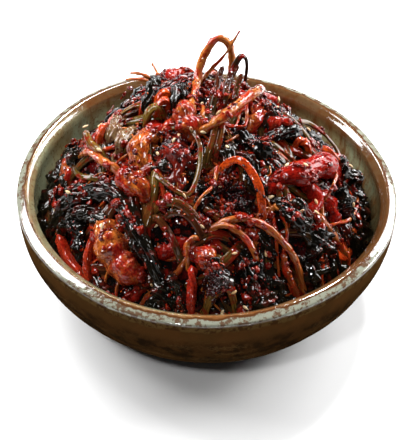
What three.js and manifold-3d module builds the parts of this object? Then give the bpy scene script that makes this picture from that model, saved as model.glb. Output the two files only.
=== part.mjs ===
// Bitter-lettuce kimchi heaped in a glazed stoneware serving bowl.
// Millimetres, +Z up. The origin is the middle of the flat foot, on the table.
// The bowl is one turned wall. The heap is one solid: a core, with the roots,
// crowns, stems, carrot sticks, leaves and sesame seeds that show fused on to it.
import * as THREE from 'three';
import { mergeVertices } from 'three/addons/utils/BufferGeometryUtils.js';
import Module from 'manifold-3d';

// ---- driving dimensions of the bowl
const RIM_RADIUS = 90;
const RIM_HEIGHT = 56.4;         // outer edge of the rim
const CREST_HEIGHT = 58;         // inner edge of the rim, its highest line
const RIM_WIDTH = 4.8;
const FOOT_RADIUS = 40;
const FLOOR_HEIGHT = 9;
const FLOOR_RADIUS = 34;
const BELLY_DROP = 33;           // how far the outer wall falls before it turns in
const WALL_STEPS = 8;
const BOWL_SIDES = 56;

// ---- driving dimensions of the heap
const PEAK = [0, 26];            // the highest place, behind the middle
const HEAP_MIDDLE = [-2, -4];    // middle of the heap's round edge
const HEAP_RADIUS = 78;
const EDGE_HEIGHT = 34;
const FILL_HEIGHT = 33;          // the bowl is filled to here at the sides,
const FILL_SLOPE = 0.2;          // higher at the front and lower behind
const PEAK_HEIGHT = 95;
const HOLLOW = [50, 44];         // the heap is lower behind on the right
const HOLLOW_DEPTH = 10;
const HOLLOW_REACH = 22;
const CORE_SUNK = 2.5;           // how far the core lies under the pieces
const CORE_SIDES = 24;
const CORE_RINGS = 9;
const CORE_WALL_STEPS = 5;
const CORE_CLEAR = 0.8;          // the core's clear space to the glaze, with its flat sides
const TUCK = 1;                  // how deep a piece's ends go into the core
const FREE_LIFT = 5;             // an end that is lifted this much stands free
const BOWL_GAP = 0.3;            // clear space between the food and the glaze
const FILLER_COUNT = 13;
const SEED_SIZE = [3.3, 2.1, 1.4];
const LOOSE_SEEDS = 4;

const wasm = await Module();
wasm.setup();

// ---------------------------------------------------------------- the hand-made bowl

// The thrown wall isn't quite round, and its rim isn't quite level.
function roundness(angle) {
  return 1 + 0.0134 * Math.sin(2 * angle) - 0.0071 * Math.cos(3 * angle)
    + 0.0005 * Math.sin(3 * angle) - 0.003 * Math.sin(5 * angle);
}

function rimWave(angle) {
  return -1.6 * Math.cos(angle) + 0.6 * Math.sin(angle) - 2.4 * Math.sin(2 * angle);
}

function wallCurve(rimRadius, rimHeight, drop, floorRadius, floorHeight) {
  return new THREE.CubicBezierCurve(
    new THREE.Vector2(rimRadius, rimHeight),
    new THREE.Vector2(rimRadius - 0.4, rimHeight - drop),
    new THREE.Vector2((rimRadius + floorRadius) / 2 + 1, floorHeight),
    new THREE.Vector2(floorRadius, floorHeight),
  );
}

const outerWall = wallCurve(RIM_RADIUS, RIM_HEIGHT - 1, BELLY_DROP - 1, FOOT_RADIUS, 0);
const innerWall = wallCurve(
  RIM_RADIUS - RIM_WIDTH - 0.6, CREST_HEIGHT - 1.8, BELLY_DROP - 6, FLOOR_RADIUS, FLOOR_HEIGHT);

function innerRadius(height) {
  const points = innerWall.getPoints(30);
  for (const point of points) {
    if (point.y <= height) return point.x;
  }
  return FLOOR_RADIUS;
}

function lathe(profile, sides) {
  const geometry = new THREE.LatheGeometry(profile.map(([r, z]) => new THREE.Vector2(r, z)), sides);
  geometry.rotateX(Math.PI / 2);
  return welded(geometry);
}

function bendLikeBowl(geometry) {
  bend(geometry, (point) => {
    const angle = Math.atan2(point.y, point.x);
    point.x *= roundness(angle);
    point.y *= roundness(angle);
    point.z += rimWave(angle) * Math.max(point.z, 0) / RIM_HEIGHT;
  });
  return geometry;
}

// The bowl's wall, made thicker by grow on every face.
function bowlGeometry(grow) {
  const outside = outerWall.getPoints(WALL_STEPS).reverse().map((p) => [p.x + grow, p.y - grow / 2]);
  const inside = innerWall.getPoints(WALL_STEPS).map((p) => [p.x - grow, p.y + grow / 2]);
  const crest = RIM_RADIUS - RIM_WIDTH;
  const rim = [
    [RIM_RADIUS - 0.7 + grow, RIM_HEIGHT + grow],
    [crest + 2.2, CREST_HEIGHT - 0.5 + grow],
    [crest, CREST_HEIGHT + grow],
  ];
  const profile = [[0, -grow], ...outside, ...rim, ...inside, [0, FLOOR_HEIGHT + grow / 2]];
  return bendLikeBowl(lathe(profile, BOWL_SIDES));
}

// ---------------------------------------------------------------- shared shaping

// Joins the vertices of a geometry and drops the triangles that this folds flat.
function welded(geometry) {
  geometry.deleteAttribute('normal');
  geometry.deleteAttribute('uv');
  const merged = mergeVertices(geometry, 1e-4);
  const corners = merged.index.array;
  const kept = [];
  for (let i = 0; i < corners.length; i += 3) {
    const [a, b, c] = [corners[i], corners[i + 1], corners[i + 2]];
    if (a !== b && b !== c && c !== a) kept.push(a, b, c);
  }
  merged.setIndex(kept);
  return merged;
}

function bend(geometry, move) {
  const places = geometry.attributes.position;
  const point = new THREE.Vector3();
  for (let i = 0; i < places.count; i += 1) {
    point.fromBufferAttribute(places, i);
    move(point);
    places.setXYZ(i, point.x, point.y, point.z);
  }
}

function signedVolume(places, corners) {
  const [a, b, c] = [new THREE.Vector3(), new THREE.Vector3(), new THREE.Vector3()];
  let sum = 0;
  for (let i = 0; i < corners.length; i += 3) {
    a.fromArray(places, 3 * corners[i]);
    b.fromArray(places, 3 * corners[i + 1]);
    c.fromArray(places, 3 * corners[i + 2]);
    sum += a.dot(b.cross(c));
  }
  return sum;
}

function solid(geometry) {
  const vertProperties = Float32Array.from(geometry.attributes.position.array);
  const triVerts = Uint32Array.from(geometry.index.array);
  if (signedVolume(vertProperties, triVerts) < 0) triVerts.reverse();
  return new wasm.Manifold(new wasm.Mesh({ numProp: 3, vertProperties, triVerts }));
}

function geometryOf(body) {
  const mesh = body.getMesh();
  const geometry = new THREE.BufferGeometry();
  geometry.setAttribute('position', new THREE.BufferAttribute(mesh.vertProperties, 3));
  geometry.setIndex(new THREE.BufferAttribute(mesh.triVerts, 1));
  return geometry;
}

// ---------------------------------------------------------------- the heap's outline

// 0 at the peak, 1 at the heap's round edge.
function spread(x, y) {
  const [dx, dy] = [x - PEAK[0], y - PEAK[1]];
  const [kx, ky] = [HEAP_MIDDLE[0] - PEAK[0], HEAP_MIDDLE[1] - PEAK[1]];
  const along = dx * kx + dy * ky;
  const room = HEAP_RADIUS ** 2 - kx * kx - ky * ky;
  return (-along + Math.sqrt(along * along + room * (dx * dx + dy * dy))) / room;
}

function folds(x, y) {
  return 2.2 * Math.sin(x / 11 + 0.6) * Math.cos(y / 13 - 0.4) + 1.4 * Math.sin((x + y) / 7.5 + 2);
}

function hollow(x, y) {
  const away = ((x - HOLLOW[0]) ** 2 + (y - HOLLOW[1]) ** 2) / (2 * HOLLOW_REACH ** 2);
  return HOLLOW_DEPTH * Math.exp(-away);
}

function heapHeight(x, y) {
  const far = spread(x, y);
  const rise = far < 1 ? (1 - far ** 2.6) ** 0.75 : 2 * (1 - far);
  const mound = EDGE_HEIGHT + (PEAK_HEIGHT - EDGE_HEIGHT) * rise - hollow(x, y);
  return Math.max(mound, FILL_HEIGHT - FILL_SLOPE * y) + folds(x, y);
}

function heapNormal(x, y) {
  const step = 3;
  const slopeX = (heapHeight(x + step, y) - heapHeight(x - step, y)) / (2 * step);
  const slopeY = (heapHeight(x, y + step) - heapHeight(x, y - step)) / (2 * step);
  return new THREE.Vector3(-slopeX, -slopeY, 1).normalize();
}

// A mound with the heap's top, sunk a little, that fills the bowl down to its floor.
function coreSolid() {
  const reach = RIM_RADIUS + 4;
  const [rings, foot] = [[], FLOOR_HEIGHT - 4];
  for (let i = CORE_RINGS; i >= 0; i -= 1) rings.push([reach * i / CORE_RINGS, 100]);
  const mound = lathe([[0, foot], [reach, foot], ...rings], CORE_SIDES);
  bend(mound, (point) => {
    if (point.z < 100) return;
    point.z = Math.max(heapHeight(point.x, point.y) - CORE_SUNK, FLOOR_HEIGHT);
  });
  const wall = innerWall.getPoints(CORE_WALL_STEPS).map((p) => [p.x - CORE_CLEAR, p.y + CORE_CLEAR]);
  const floor = FLOOR_HEIGHT + CORE_CLEAR;
  const plug = lathe([[0, 140], [wall[0][0], 140], ...wall, [0, floor]], CORE_SIDES);
  return solid(mound).intersect(solid(bendLikeBowl(plug)));
}

// ---------------------------------------------------------------- roots, stems and leaves

// Keeps a point that far inside the bowl's wall, wherever it is below the rim.
function insideBowl(point, margin) {
  const angle = Math.atan2(point.y, point.x);
  const most = innerRadius(point.z - rimWave(angle)) * roundness(angle) - margin;
  const radius = Math.hypot(point.x, point.y);
  if (point.z > CREST_HEIGHT + 6 || radius <= most) return;
  point.x *= most / radius;
  point.y *= most / radius;
}

// Points and frames along a piece: its path is a list of [x, y, lift above the heap].
// An end that isn't lifted clear is tucked into the heap.
function layOut(path, steps, margin) {
  const route = new THREE.CatmullRomCurve3(
    path.map(([x, y, lift]) => new THREE.Vector3(x, y, lift)), false, 'catmullrom', 0.5);
  const tucks = [path[0][2], path[path.length - 1][2]].map(
    (lift) => (lift < FREE_LIFT ? lift + CORE_SUNK + TUCK : 0));
  const places = [];
  for (let i = 0; i <= steps; i += 1) {
    const place = route.getPoint(i / steps);
    const toEnd = Math.max(Math.abs(2 * i / steps - 1) - 0.4, 0) / 0.6;
    place.z += heapHeight(place.x, place.y) - tucks[2 * i < steps ? 0 : 1] * toEnd * toEnd;
    insideBowl(place, margin);
    places.push(place);
  }
  const frames = [];
  const up = heapNormal(places[0].x, places[0].y);
  for (let i = 0; i <= steps; i += 1) {
    const ahead = places[Math.min(i + 1, steps)].clone().sub(places[Math.max(i - 1, 0)]).normalize();
    up.multiplyScalar(0.7).addScaledVector(heapNormal(places[i].x, places[i].y), 0.3);
    up.addScaledVector(ahead, -up.dot(ahead)).normalize();
    frames.push({ place: places[i], up: up.clone(), side: ahead.clone().cross(up) });
  }
  return frames;
}

// Width of a piece at t from 0 to 1, from its widths at the start, middle and end.
function widthAt(widths, t) {
  const [start, middle, end] = widths;
  return start * (1 - t) * (1 - 2 * t) + 4 * middle * t * (1 - t) + end * t * (2 * t - 1);
}

// Bends a straight geometry, lying along Y from -0.5 to 0.5, over the heap.
function draped(geometry, path, steps, margin, section) {
  const frames = layOut(path, steps, margin);
  const piece = welded(geometry);
  bend(piece, (point) => {
    const t = point.y + 0.5;
    const { place, up, side } = frames[Math.round(t * steps)];
    const [across, high] = section(point, t);
    point.copy(place).addScaledVector(side, across).addScaledVector(up, high);
  });
  return solid(piece);
}

// A root or crown: round, knobbly, fattest where its widths say.
function root(path, widths, phase) {
  const steps = 2 * path.length - 1;
  const sides = Math.max(...widths) > 5 ? 6 : 4;
  const bar = new THREE.CylinderGeometry(1, 1, 1, sides, steps);
  return draped(bar, path, steps, Math.max(...widths) / 2, (point, t) => {
    const half = widthAt(widths, t) / 2 * (1 + 0.1 * Math.sin(19 * t + phase));
    return [point.x * half, point.z * half];
  });
}

// A stem of a leaf, pressed flat.
function stem(path, widths, phase) {
  const steps = 2 * path.length - 1;
  const bar = new THREE.CylinderGeometry(1, 1, 1, 4, steps);
  return draped(bar, path, steps, Math.max(...widths) / 2, (point, t) => {
    const half = widthAt(widths, t) / 2;
    return [point.x * half * 1.15, point.z * half * (0.72 + 0.08 * Math.sin(11 * t + phase))];
  });
}

// A cut carrot stick: square, with hardly any taper.
function carrot(path, widths) {
  const steps = 2 * path.length - 1;
  const bar = new THREE.BoxGeometry(1, 1, 1, 1, steps, 1);
  return draped(bar, path, steps, Math.max(...widths) / 2, (point, t) => {
    const half = widthAt(widths, t);
    return [point.x * half, point.z * half * 0.8];
  });
}

// A wilted leaf: thin, narrow at its ends, wavy across and along.
function leaf(path, widths, phase) {
  const steps = 2 * path.length - 1;
  const sheet = new THREE.BoxGeometry(1, 1, 1, 1, steps, 1);
  return draped(sheet, path, steps, Math.max(...widths) / 2, (point, t) => {
    const wide = widthAt(widths, t);
    const wave = 0.16 * wide * Math.sin(14 * t + phase + 2.4 * point.x);
    const droop = -1.4 * wide * point.x * point.x;
    return [point.x * wide, point.z * 1.5 + wave + droop + 0.8];
  });
}

// ---------------------------------------------------------------- where the pieces lie

// Each row: how it is made, its widths at start, middle and end, and its path.
const PIECES = [
  // the roots and stems that stand up from the peak
  [root, [4.2, 4.2, 3.4], [[-11, 5, 3], [-9, 20, 5], [-8, 32, 4], [-6, 38, 11], [0, 42, 21],
    [6, 43, 20], [8, 41, 12], [7, 35, 2]]],
  [root, [2, 1.6, 1.3], [[-7, 34, 1], [-1, 38, 6], [5, 40, 15], [11, 42, 31]]],
  [stem, [3.4, 3, 2.4], [[-1, 8, 3], [1, 20, 6], [2, 30, 6], [4, 34, 10]]],
  [stem, [3.4, 3, 2.4], [[2, 10, 3], [6, 24, 7], [8, 33, 8], [12, 36, 17], [15, 36, 15], [14, 33, 3]]],
  [stem, [3.2, 3, 2.4], [[5, 12, 3], [6, 22, 6], [8, 30, 6], [11, 35, 12]]],
  [root, [4, 5, 4.4], [[-8, -3, 3], [-2, -7, 6], [5, -4, 8], [13, 9, 8], [20, 21, 6], [22, 31, 5],
    [17, 34, 3]]],
  [root, [7, 11, 8], [[-14, 11, 2], [-13, 2, 4], [-9, -6, 2]]],
  [leaf, [7, 8, 4], [[-32, 14, 1], [-31, 22, 4], [-27, 32, 5], [-24, 38, 4]]],
  [leaf, [6, 7, 4], [[-19, 10, 2], [-17, 24, 5], [-14, 36, 4]]],
  [leaf, [6, 6, 4], [[-14, 14, 3], [-13, 28, 5], [-11, 39, 3]]],
  [root, [2, 1.6, 1.3], [[-29, 28, 4], [-36, 28, 9], [-42, 31, 12]]],
  [root, [2, 1.6, 1.3], [[-29, 30, 4], [-34, 30, 9], [-40, 33, 13]]],
  [root, [2, 1.6, 1.3], [[-26, 32, 4], [-28, 35, 7], [-30, 38, 10]]],
  // the upper left: pale stalks, carrot, and a thick root piece
  [leaf, [8, 9, 6], [[-46, -9, 1], [-44, 6, 3], [-39, 21, 2]]],
  [leaf, [8, 8, 5], [[-40, -8, 1], [-37, 6, 3], [-33, 18, 3]]],
  [carrot, [3.4, 3.6, 3.2], [[-49, 11, 2], [-46, 20, 4], [-43, 27, 3]]],
  [carrot, [3.4, 3.6, 3.2], [[-53, -1, 2], [-51, 5, 4], [-49, 10, 3]]],
  [stem, [3, 3.8, 3.8], [[-60, 12, 5], [-56, -3, 6], [-48, -12, 4]]],
  [root, [7, 10, 7], [[-32, -24, 2], [-33, -12, 4], [-25, 0, 3]]],
  // the oval leaf with its thick margin and the lump of paste in it
  [stem, [2.6, 2.4, 2.6], [[-27, -22, 3], [-28, -8, 5], [-14, -3, 4], [-5, -17, 5], [-9, -39, 3],
    [-22, -33, 4], [-28, -20, 2]]],
  [leaf, [9, 17, 8], [[-19, -3, 2], [-17, -19, 4], [-14, -36, 1]]],
  // the left: a long root with its crown, and the black leaf that arches to the front
  [root, [2.5, 3.8, 4.5], [[-62, 3, 3], [-50, -14, 5], [-39, -23, 3]]],
  [root, [7, 11, 6], [[-40, -23, 2], [-34, -31, 4], [-27, -37, 2]]],
  [leaf, [6, 9, 6], [[-78, -17, 3], [-62, -23, 6], [-42, -33, 6], [-30, -53, 5], [-20, -68, 4],
    [-12, -76, 2]]],
  [leaf, [6, 8, 6], [[-77, -24, 2], [-60, -29, 5], [-41, -40, 4]]],
  [leaf, [6, 8, 6], [[-64, -26, 2], [-60, -38, 4], [-57, -48, 2]]],
  [leaf, [6, 7, 5], [[-40, -37, 2], [-34, -50, 4], [-26, -61, 2]]],
  [leaf, [6, 8, 5], [[-66, 12, 4], [-70, 0, 4], [-66, -17, 2]]],
  [stem, [2.6, 3, 3], [[-66, 4, 4], [-58, -12, 5], [-45, -17, 4]]],
  [carrot, [4.6, 5, 4.6], [[-70, -28, 2], [-63, -45, 3], [-53, -58, 2]]],
  [carrot, [3.4, 3.6, 3.4], [[-50, -41, 2], [-54, -51, 3], [-52, -59, 1]]],
  [root, [8, 12, 7], [[-49, -38, 2], [-43, -53, 4], [-36, -62, 3], [-27, -63, 1]]],
  [root, [1.8, 1.6, 1.4], [[-50, -41, 6], [-48, -53, 8], [-37, -64, 5]]],
  // the middle: olive stems, branching roots and the arched carrot stick
  [stem, [4, 4.2, 3.6], [[-26, -42, 3], [-14, -44, 5], [-1, -51, 3]]],
  [stem, [3.6, 3.6, 3.2], [[-22, -46, 2], [-11, -47, 4], [-1, -54, 2]]],
  [stem, [3.8, 3.6, 3], [[-26, -43, 2], [-18, -52, 4], [-11, -60, 2]]],
  [root, [2.2, 2.4, 2], [[-3, -53, 2], [-9, -57, 4], [-8, -62, 2]]],
  [carrot, [4.4, 4.6, 4.4], [[2, -23, 4], [13, -25, 9], [21, -33, 8], [25, -42, 3]]],
  [root, [1.8, 1.7, 1.6], [[3, -24, 5], [1, -35, 6], [-8, -45, 4]]],
  [root, [3.2, 4, 2.6], [[-1, -50, 3], [18, -46, 6], [36, -52, 5], [46, -59, 3]]],
  [root, [3.6, 4, 3.4], [[34, -51, 4], [36, -58, 4], [43, -62, 2]]],
  [root, [2.4, 3, 2.4], [[0, -49, 3], [14, -52, 5], [25, -60, 3]]],
  [leaf, [6, 9, 6], [[11, -5, 2], [22, -13, 4], [32, -19, 2]]],
  [leaf, [6, 8, 6], [[5, -11, 2], [8, -20, 4], [6, -30, 2]]],
  [leaf, [6, 9, 6], [[11, -15, 2], [19, -24, 4], [24, -33, 2]]],
  [stem, [3.2, 3.6, 3], [[2, 4, 3], [1, -10, 5], [-3, -23, 3]]],
  // the right: the red crown with its roots, and the dark leaves behind it
  [root, [7, 12, 6], [[27, -24, 2], [41, -19, 5], [52, -8, 5], [61, 4, 2]]],
  [root, [8, 7, 5], [[43, -18, 3], [49, -26, 3], [45, -34, 2]]],
  [root, [1.8, 1.6, 1.4], [[45, -16, 4], [52, -10, 8], [58, -11, 9], [55, -21, 7], [51, -23, 3]]],
  [root, [4, 3.6, 2.4], [[44, -31, 3], [52, -35, 5], [60, -35, 4], [66, -34, 2]]],
  [root, [2, 1.8, 1.5], [[52, -33, 2], [63, -25, 4], [68, -16, 6], [70, -4, 8]]],
  [leaf, [6, 8, 6], [[24, 6, 4], [29, 9, 8], [41, 11, 6]]],
  [stem, [3, 2.8, 2.6], [[40, 16, 6], [46, 22, 8], [54, 22, 9], [60, 18, 8], [62, 12, 5]]],
  [leaf, [5, 8, 6], [[23, -6, 2], [33, 1, 6], [48, 14, 7]]],
  [leaf, [5, 7, 6], [[23, 16, 3], [27, 10, 6], [33, 2, 5]]],
  [carrot, [3.4, 3.6, 3.2], [[53, 9, 6], [56, 6, 8], [62, 8, 6]]],
  [leaf, [6, 9, 6], [[58, 8, 5], [66, 6, 9], [70, 0, 8]]],
  [leaf, [6, 8, 6], [[60, -1, 7], [67, 2, 10], [71, -4, 7]]],
  [leaf, [6, 8, 6], [[55, -15, 3], [63, -16, 6], [67, -19, 4]]],
  [leaf, [6, 10, 6], [[28, -33, 2], [42, -42, 4], [60, -39, 2]]],
  // the front, against the wall
  [root, [7, 10, 6], [[-4, -58, 2], [3, -63, 4], [9, -68, 2]]],
  [leaf, [6, 8, 5], [[0, -62, 5], [6, -68, 6], [12, -72, 3]]],
  [stem, [3.4, 3.4, 3.2], [[-2, -76, 0], [5, -73, 6], [10, -72, 7], [15, -75, 0]]],
  [stem, [3, 3, 2.8], [[0, -77, 1], [3, -72, 5], [10, -71, 6]]],
  [carrot, [3.8, 4, 3.8], [[-6, -62, 4], [-6, -70, 5], [-6, -77, 3]]],
  [leaf, [6, 8, 5], [[-25, -65, 2], [-19, -71, 4], [-12, -76, 1]]],
  [leaf, [7, 11, 7], [[16, -74, 2], [25, -71, 4], [34, -65, 2]]],
];

// Sesame seeds that lie in plain view, as [x, y].
const SEED_PLACES = [[-36, 7], [-25, 1], [-53, -30], [-54, -34], [30, 0], [27, -57], [16, -56],
  [36, -54], [49, -52], [31, -70], [5, 14], [-14, -20]];

let chance = 20261;
function random(low, high) {
  chance = (chance * 1664525 + 1013904223) % 4294967296;
  return low + (high - low) * chance / 4294967296;
}

// Pieces strewn over the back and the sides, where no single one stands out.
function fillers() {
  const kinds = [[root, 3.2], [leaf, 8.5], [stem, 3.6], [leaf, 7.5], [root, 2.6], [leaf, 9.5]];
  const strewn = [];
  for (let i = 0; i < FILLER_COUNT; i += 1) {
    const [make, width] = kinds[i % kinds.length];
    const angle = -0.35 + 3.9 * (i + random(0.1, 0.9)) / FILLER_COUNT;
    const out = random(0.4, 0.95);
    const x = HEAP_MIDDLE[0] + HEAP_RADIUS * out * Math.cos(angle);
    const y = 8 + (HEAP_RADIUS - 10) * out * Math.sin(angle);
    const turn = angle + random(0.3, 2.2);
    const half = random(11, 18);
    const [ux, uy] = [Math.cos(turn) * half, Math.sin(turn) * half];
    const bow = random(-0.3, 0.3);
    const path = [[x - ux, y - uy, 1], [x - uy * bow, y + ux * bow, 3.5], [x + ux, y + uy, 1]];
    strewn.push([make, [width * 0.75, width, width * 0.7], path]);
  }
  return strewn;
}

// ---------------------------------------------------------------- the heap, fused

function largestBody(body) {
  return body.decompose().sort((a, b) => b.volume() - a.volume())[0];
}

// A seed lies flat where a plumb line meets the heap.
function seedOn(surface, x, y) {
  const plumb = new THREE.Raycaster(new THREE.Vector3(x, y, 200), new THREE.Vector3(0, 0, -1));
  const met = plumb.intersectObject(surface)[0];
  const grain = new THREE.IcosahedronGeometry(0.5, 0);
  grain.scale(...SEED_SIZE);
  grain.rotateZ(random(0, Math.PI));
  const rest = new THREE.Quaternion().setFromUnitVectors(new THREE.Vector3(0, 0, 1), met.face.normal);
  grain.applyQuaternion(rest);
  grain.translate(met.point.x, met.point.y, met.point.z);
  return solid(welded(grain));
}

function heapSolid() {
  let heap = coreSolid();
  [...PIECES, ...fillers()].forEach(([make, widths, path], index) => {
    heap = heap.add(make(path, widths, 1.7 * index));
  });
  const surface = new THREE.Mesh(geometryOf(heap), new THREE.MeshBasicMaterial());
  surface.updateMatrixWorld();
  const places = [...SEED_PLACES];
  for (let i = 0; i < LOOSE_SEEDS; i += 1) {
    const angle = 2 * Math.PI * (i + random(0, 1)) / LOOSE_SEEDS;
    const out = HEAP_RADIUS * random(0.3, 0.85);
    places.push([HEAP_MIDDLE[0] + out * Math.cos(angle), HEAP_MIDDLE[1] + out * Math.sin(angle)]);
  }
  for (const [x, y] of places) heap = heap.add(seedOn(surface, x, y));
  return largestBody(heap.subtract(solid(bowlGeometry(BOWL_GAP))));
}

function node(name, geometry, color, roughness) {
  const material = new THREE.MeshStandardMaterial({ color, roughness, metalness: 0 });
  const mesh = new THREE.Mesh(geometry, material);
  mesh.name = name;
  return mesh;
}

const dish = new THREE.Group();
dish.add(node('bowl', geometryOf(solid(bowlGeometry(0))), 0x5d5a44, 0.3));
dish.add(node('kimchi', geometryOf(heapSolid()), 0x5a1a10, 0.35));

export default dish;
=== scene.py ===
import math
import random

import bmesh
import bpy
import numpy as np
from mathutils import Matrix, Vector, noise
from mathutils.bvhtree import BVHTree


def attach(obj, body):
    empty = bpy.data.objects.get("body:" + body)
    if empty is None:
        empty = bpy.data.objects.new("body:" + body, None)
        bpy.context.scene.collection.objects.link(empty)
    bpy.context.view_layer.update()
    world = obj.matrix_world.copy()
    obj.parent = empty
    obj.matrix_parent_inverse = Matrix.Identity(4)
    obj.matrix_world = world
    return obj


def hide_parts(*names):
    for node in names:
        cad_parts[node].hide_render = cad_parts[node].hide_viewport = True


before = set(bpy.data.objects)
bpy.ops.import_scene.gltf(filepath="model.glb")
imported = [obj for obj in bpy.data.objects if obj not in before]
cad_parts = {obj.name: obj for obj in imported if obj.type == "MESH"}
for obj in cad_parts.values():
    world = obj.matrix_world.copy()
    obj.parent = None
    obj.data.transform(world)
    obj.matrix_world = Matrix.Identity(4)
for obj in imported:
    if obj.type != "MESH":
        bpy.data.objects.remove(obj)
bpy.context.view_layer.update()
scene = bpy.context.scene
MM = 0.001


# ------------------------------------------------------------------ the camera
# It looks down on the bowl from the front, from 0.8 m away, along a long lens.
# The head is turned a little, so the picture's upright leans by CAMERA_ROLL.
CAMERA_DISTANCE = 0.8
CAMERA_DOWN = math.radians(42.5)
CAMERA_ROLL = 0.045
CAMERA_TARGET = Vector((-2.87, -10.34, 45.0)) * MM
CAMERA_LENS = 138.1

ahead = Vector((0, math.cos(CAMERA_DOWN), -math.sin(CAMERA_DOWN)))
level_right = Vector((1, 0, 0))
level_up = level_right.cross(ahead)
turned_right = math.cos(CAMERA_ROLL) * level_right + math.sin(CAMERA_ROLL) * level_up
turned_up = -math.sin(CAMERA_ROLL) * level_right + math.cos(CAMERA_ROLL) * level_up
camera = bpy.data.objects.new("camera", bpy.data.cameras.new("camera"))
camera.data.lens = CAMERA_LENS
camera.matrix_world = Matrix.Translation(CAMERA_TARGET - CAMERA_DISTANCE * ahead) @ Matrix(
    (turned_right, turned_up, -ahead)).transposed().to_4x4()
scene.collection.objects.link(camera)
scene.camera = camera


# ------------------------------------------------------------------ the studio
# A plain pale table and seven lights. Four broad ones behind the bowl and beside
# it shine along the glazed rim. Three small ones put white glints on the wet food.
FLOOR_SIZE = 6.0
PAPER_TONE = 0.66
PAPER_ROUGHNESS = 0.9
SKY_COLOUR = (0.95, 0.97, 1.0, 1)
SKY_STRENGTH = 0.05
LIGHT_TARGET = Vector((0, 0, 0.05))
LIGHTS = {
    "rim_light": {"place": (-0.62, 0.46, 0.98), "size": (0.34, 0.5), "power": 14},
    "left_light": {"place": (-0.91, 0.25, 0.74), "size": (0.5, 0.34), "power": 14},
    "right_light": {"place": (0.92, 0.42, 0.52), "size": (0.5, 0.40), "power": 19},
    "far_light": {"place": (0.65, 0.77, 0.65), "size": (0.40, 0.5), "power": 11},
    "high_light": {"place": (0.3, 0.65, 1.1), "size": (0.16, 0.16), "power": 16},
    "back_light": {"place": (-0.2, 0.95, 0.95), "size": (0.14, 0.14), "power": 9},
    "front_light": {"place": (-0.35, -0.85, 1.2), "size": (0.14, 0.14), "power": 8},
}


def made_from(bm, name):
    """Puts a finished bmesh in the scene as an object."""
    mesh = bpy.data.meshes.new(name)
    bm.to_mesh(mesh)
    bm.free()
    made = bpy.data.objects.new(name, mesh)
    scene.collection.objects.link(made)
    return made


bm = bmesh.new()
bmesh.ops.create_grid(bm, x_segments=1, y_segments=1, size=FLOOR_SIZE / 2)
floor = made_from(bm, "floor")
paper = bpy.data.materials.new("pale_paper")
paper.use_nodes = True
matt = paper.node_tree.nodes["Principled BSDF"]
matt.inputs["Base Color"].default_value = (PAPER_TONE,) * 3 + (1,)
matt.inputs["Roughness"].default_value = PAPER_ROUGHNESS
floor.data.materials.append(paper)

for name, light in LIGHTS.items():
    lamp = bpy.data.lights.new(name, "AREA")
    lamp.shape = "RECTANGLE"
    lamp.size, lamp.size_y = light["size"]
    lamp.energy = light["power"]
    holder = bpy.data.objects.new(name, lamp)
    holder.location = light["place"]
    to_bowl = LIGHT_TARGET - Vector(light["place"])
    holder.rotation_euler = to_bowl.to_track_quat("-Z", "Y").to_euler()
    scene.collection.objects.link(holder)

world = bpy.data.worlds.new("studio")
world.use_nodes = True
sky = world.node_tree.nodes["Background"]
sky.inputs["Color"].default_value = SKY_COLOUR
sky.inputs["Strength"].default_value = SKY_STRENGTH
scene.world = world
scene.view_settings.view_transform = "Standard"


# ------------------------------------------------------------------ the bowl
# A hand-thrown stoneware bowl under a glossy ash glaze. One wall is spun from its
# profile, foot, outside, rim and inside, then bent off round as the real one is,
# because it warped a little in the kiln. All sizes are in millimetres.
RIM_RADIUS = 90.0
RIM_HEIGHT = 56.4
CREST_HEIGHT = 58.0
RIM_WIDTH = 4.8
FOOT_RADIUS = 40.0
FLOOR_HEIGHT = 9.0
FLOOR_RADIUS = 34.0
BELLY_DROP = 33.0
BOWL_TURNS = 192
OUTER_STEPS = 30
INNER_STEPS = 26
LIP_DEPTH = 2.2
LIP_HEIGHT = 53
LIP_REACH = 7
RING_DEPTH = 0.12
DENT_DEPTH = 0.25


def roundness(angle):
    """The bowl's radius on one side, as a part of a round one's."""
    return (1 + 0.0134 * np.sin(2 * angle) - 0.0071 * np.cos(3 * angle)
            + 0.0005 * np.sin(3 * angle) - 0.003 * np.sin(5 * angle))


def rim_wave(angle):
    """How much higher the rim stands on one side, in millimetres."""
    return -1.6 * np.cos(angle) + 0.6 * np.sin(angle) - 2.4 * np.sin(2 * angle)


def wall_curve(rim_radius, rim_height, drop, floor_radius, floor_height, steps):
    """Radius and height down one side of a wall, from its rim to its floor, in one bend."""
    t = np.linspace(0, 1, steps + 1)[:, None]
    ends = np.array([
        (rim_radius, rim_height), (rim_radius - 0.4, rim_height - drop),
        ((rim_radius + floor_radius) / 2 + 1, floor_height), (floor_radius, floor_height)])
    return ((1 - t) ** 3 * ends[0] + 3 * t * (1 - t) ** 2 * ends[1]
            + 3 * t * t * (1 - t) * ends[2] + t ** 3 * ends[3])


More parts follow.
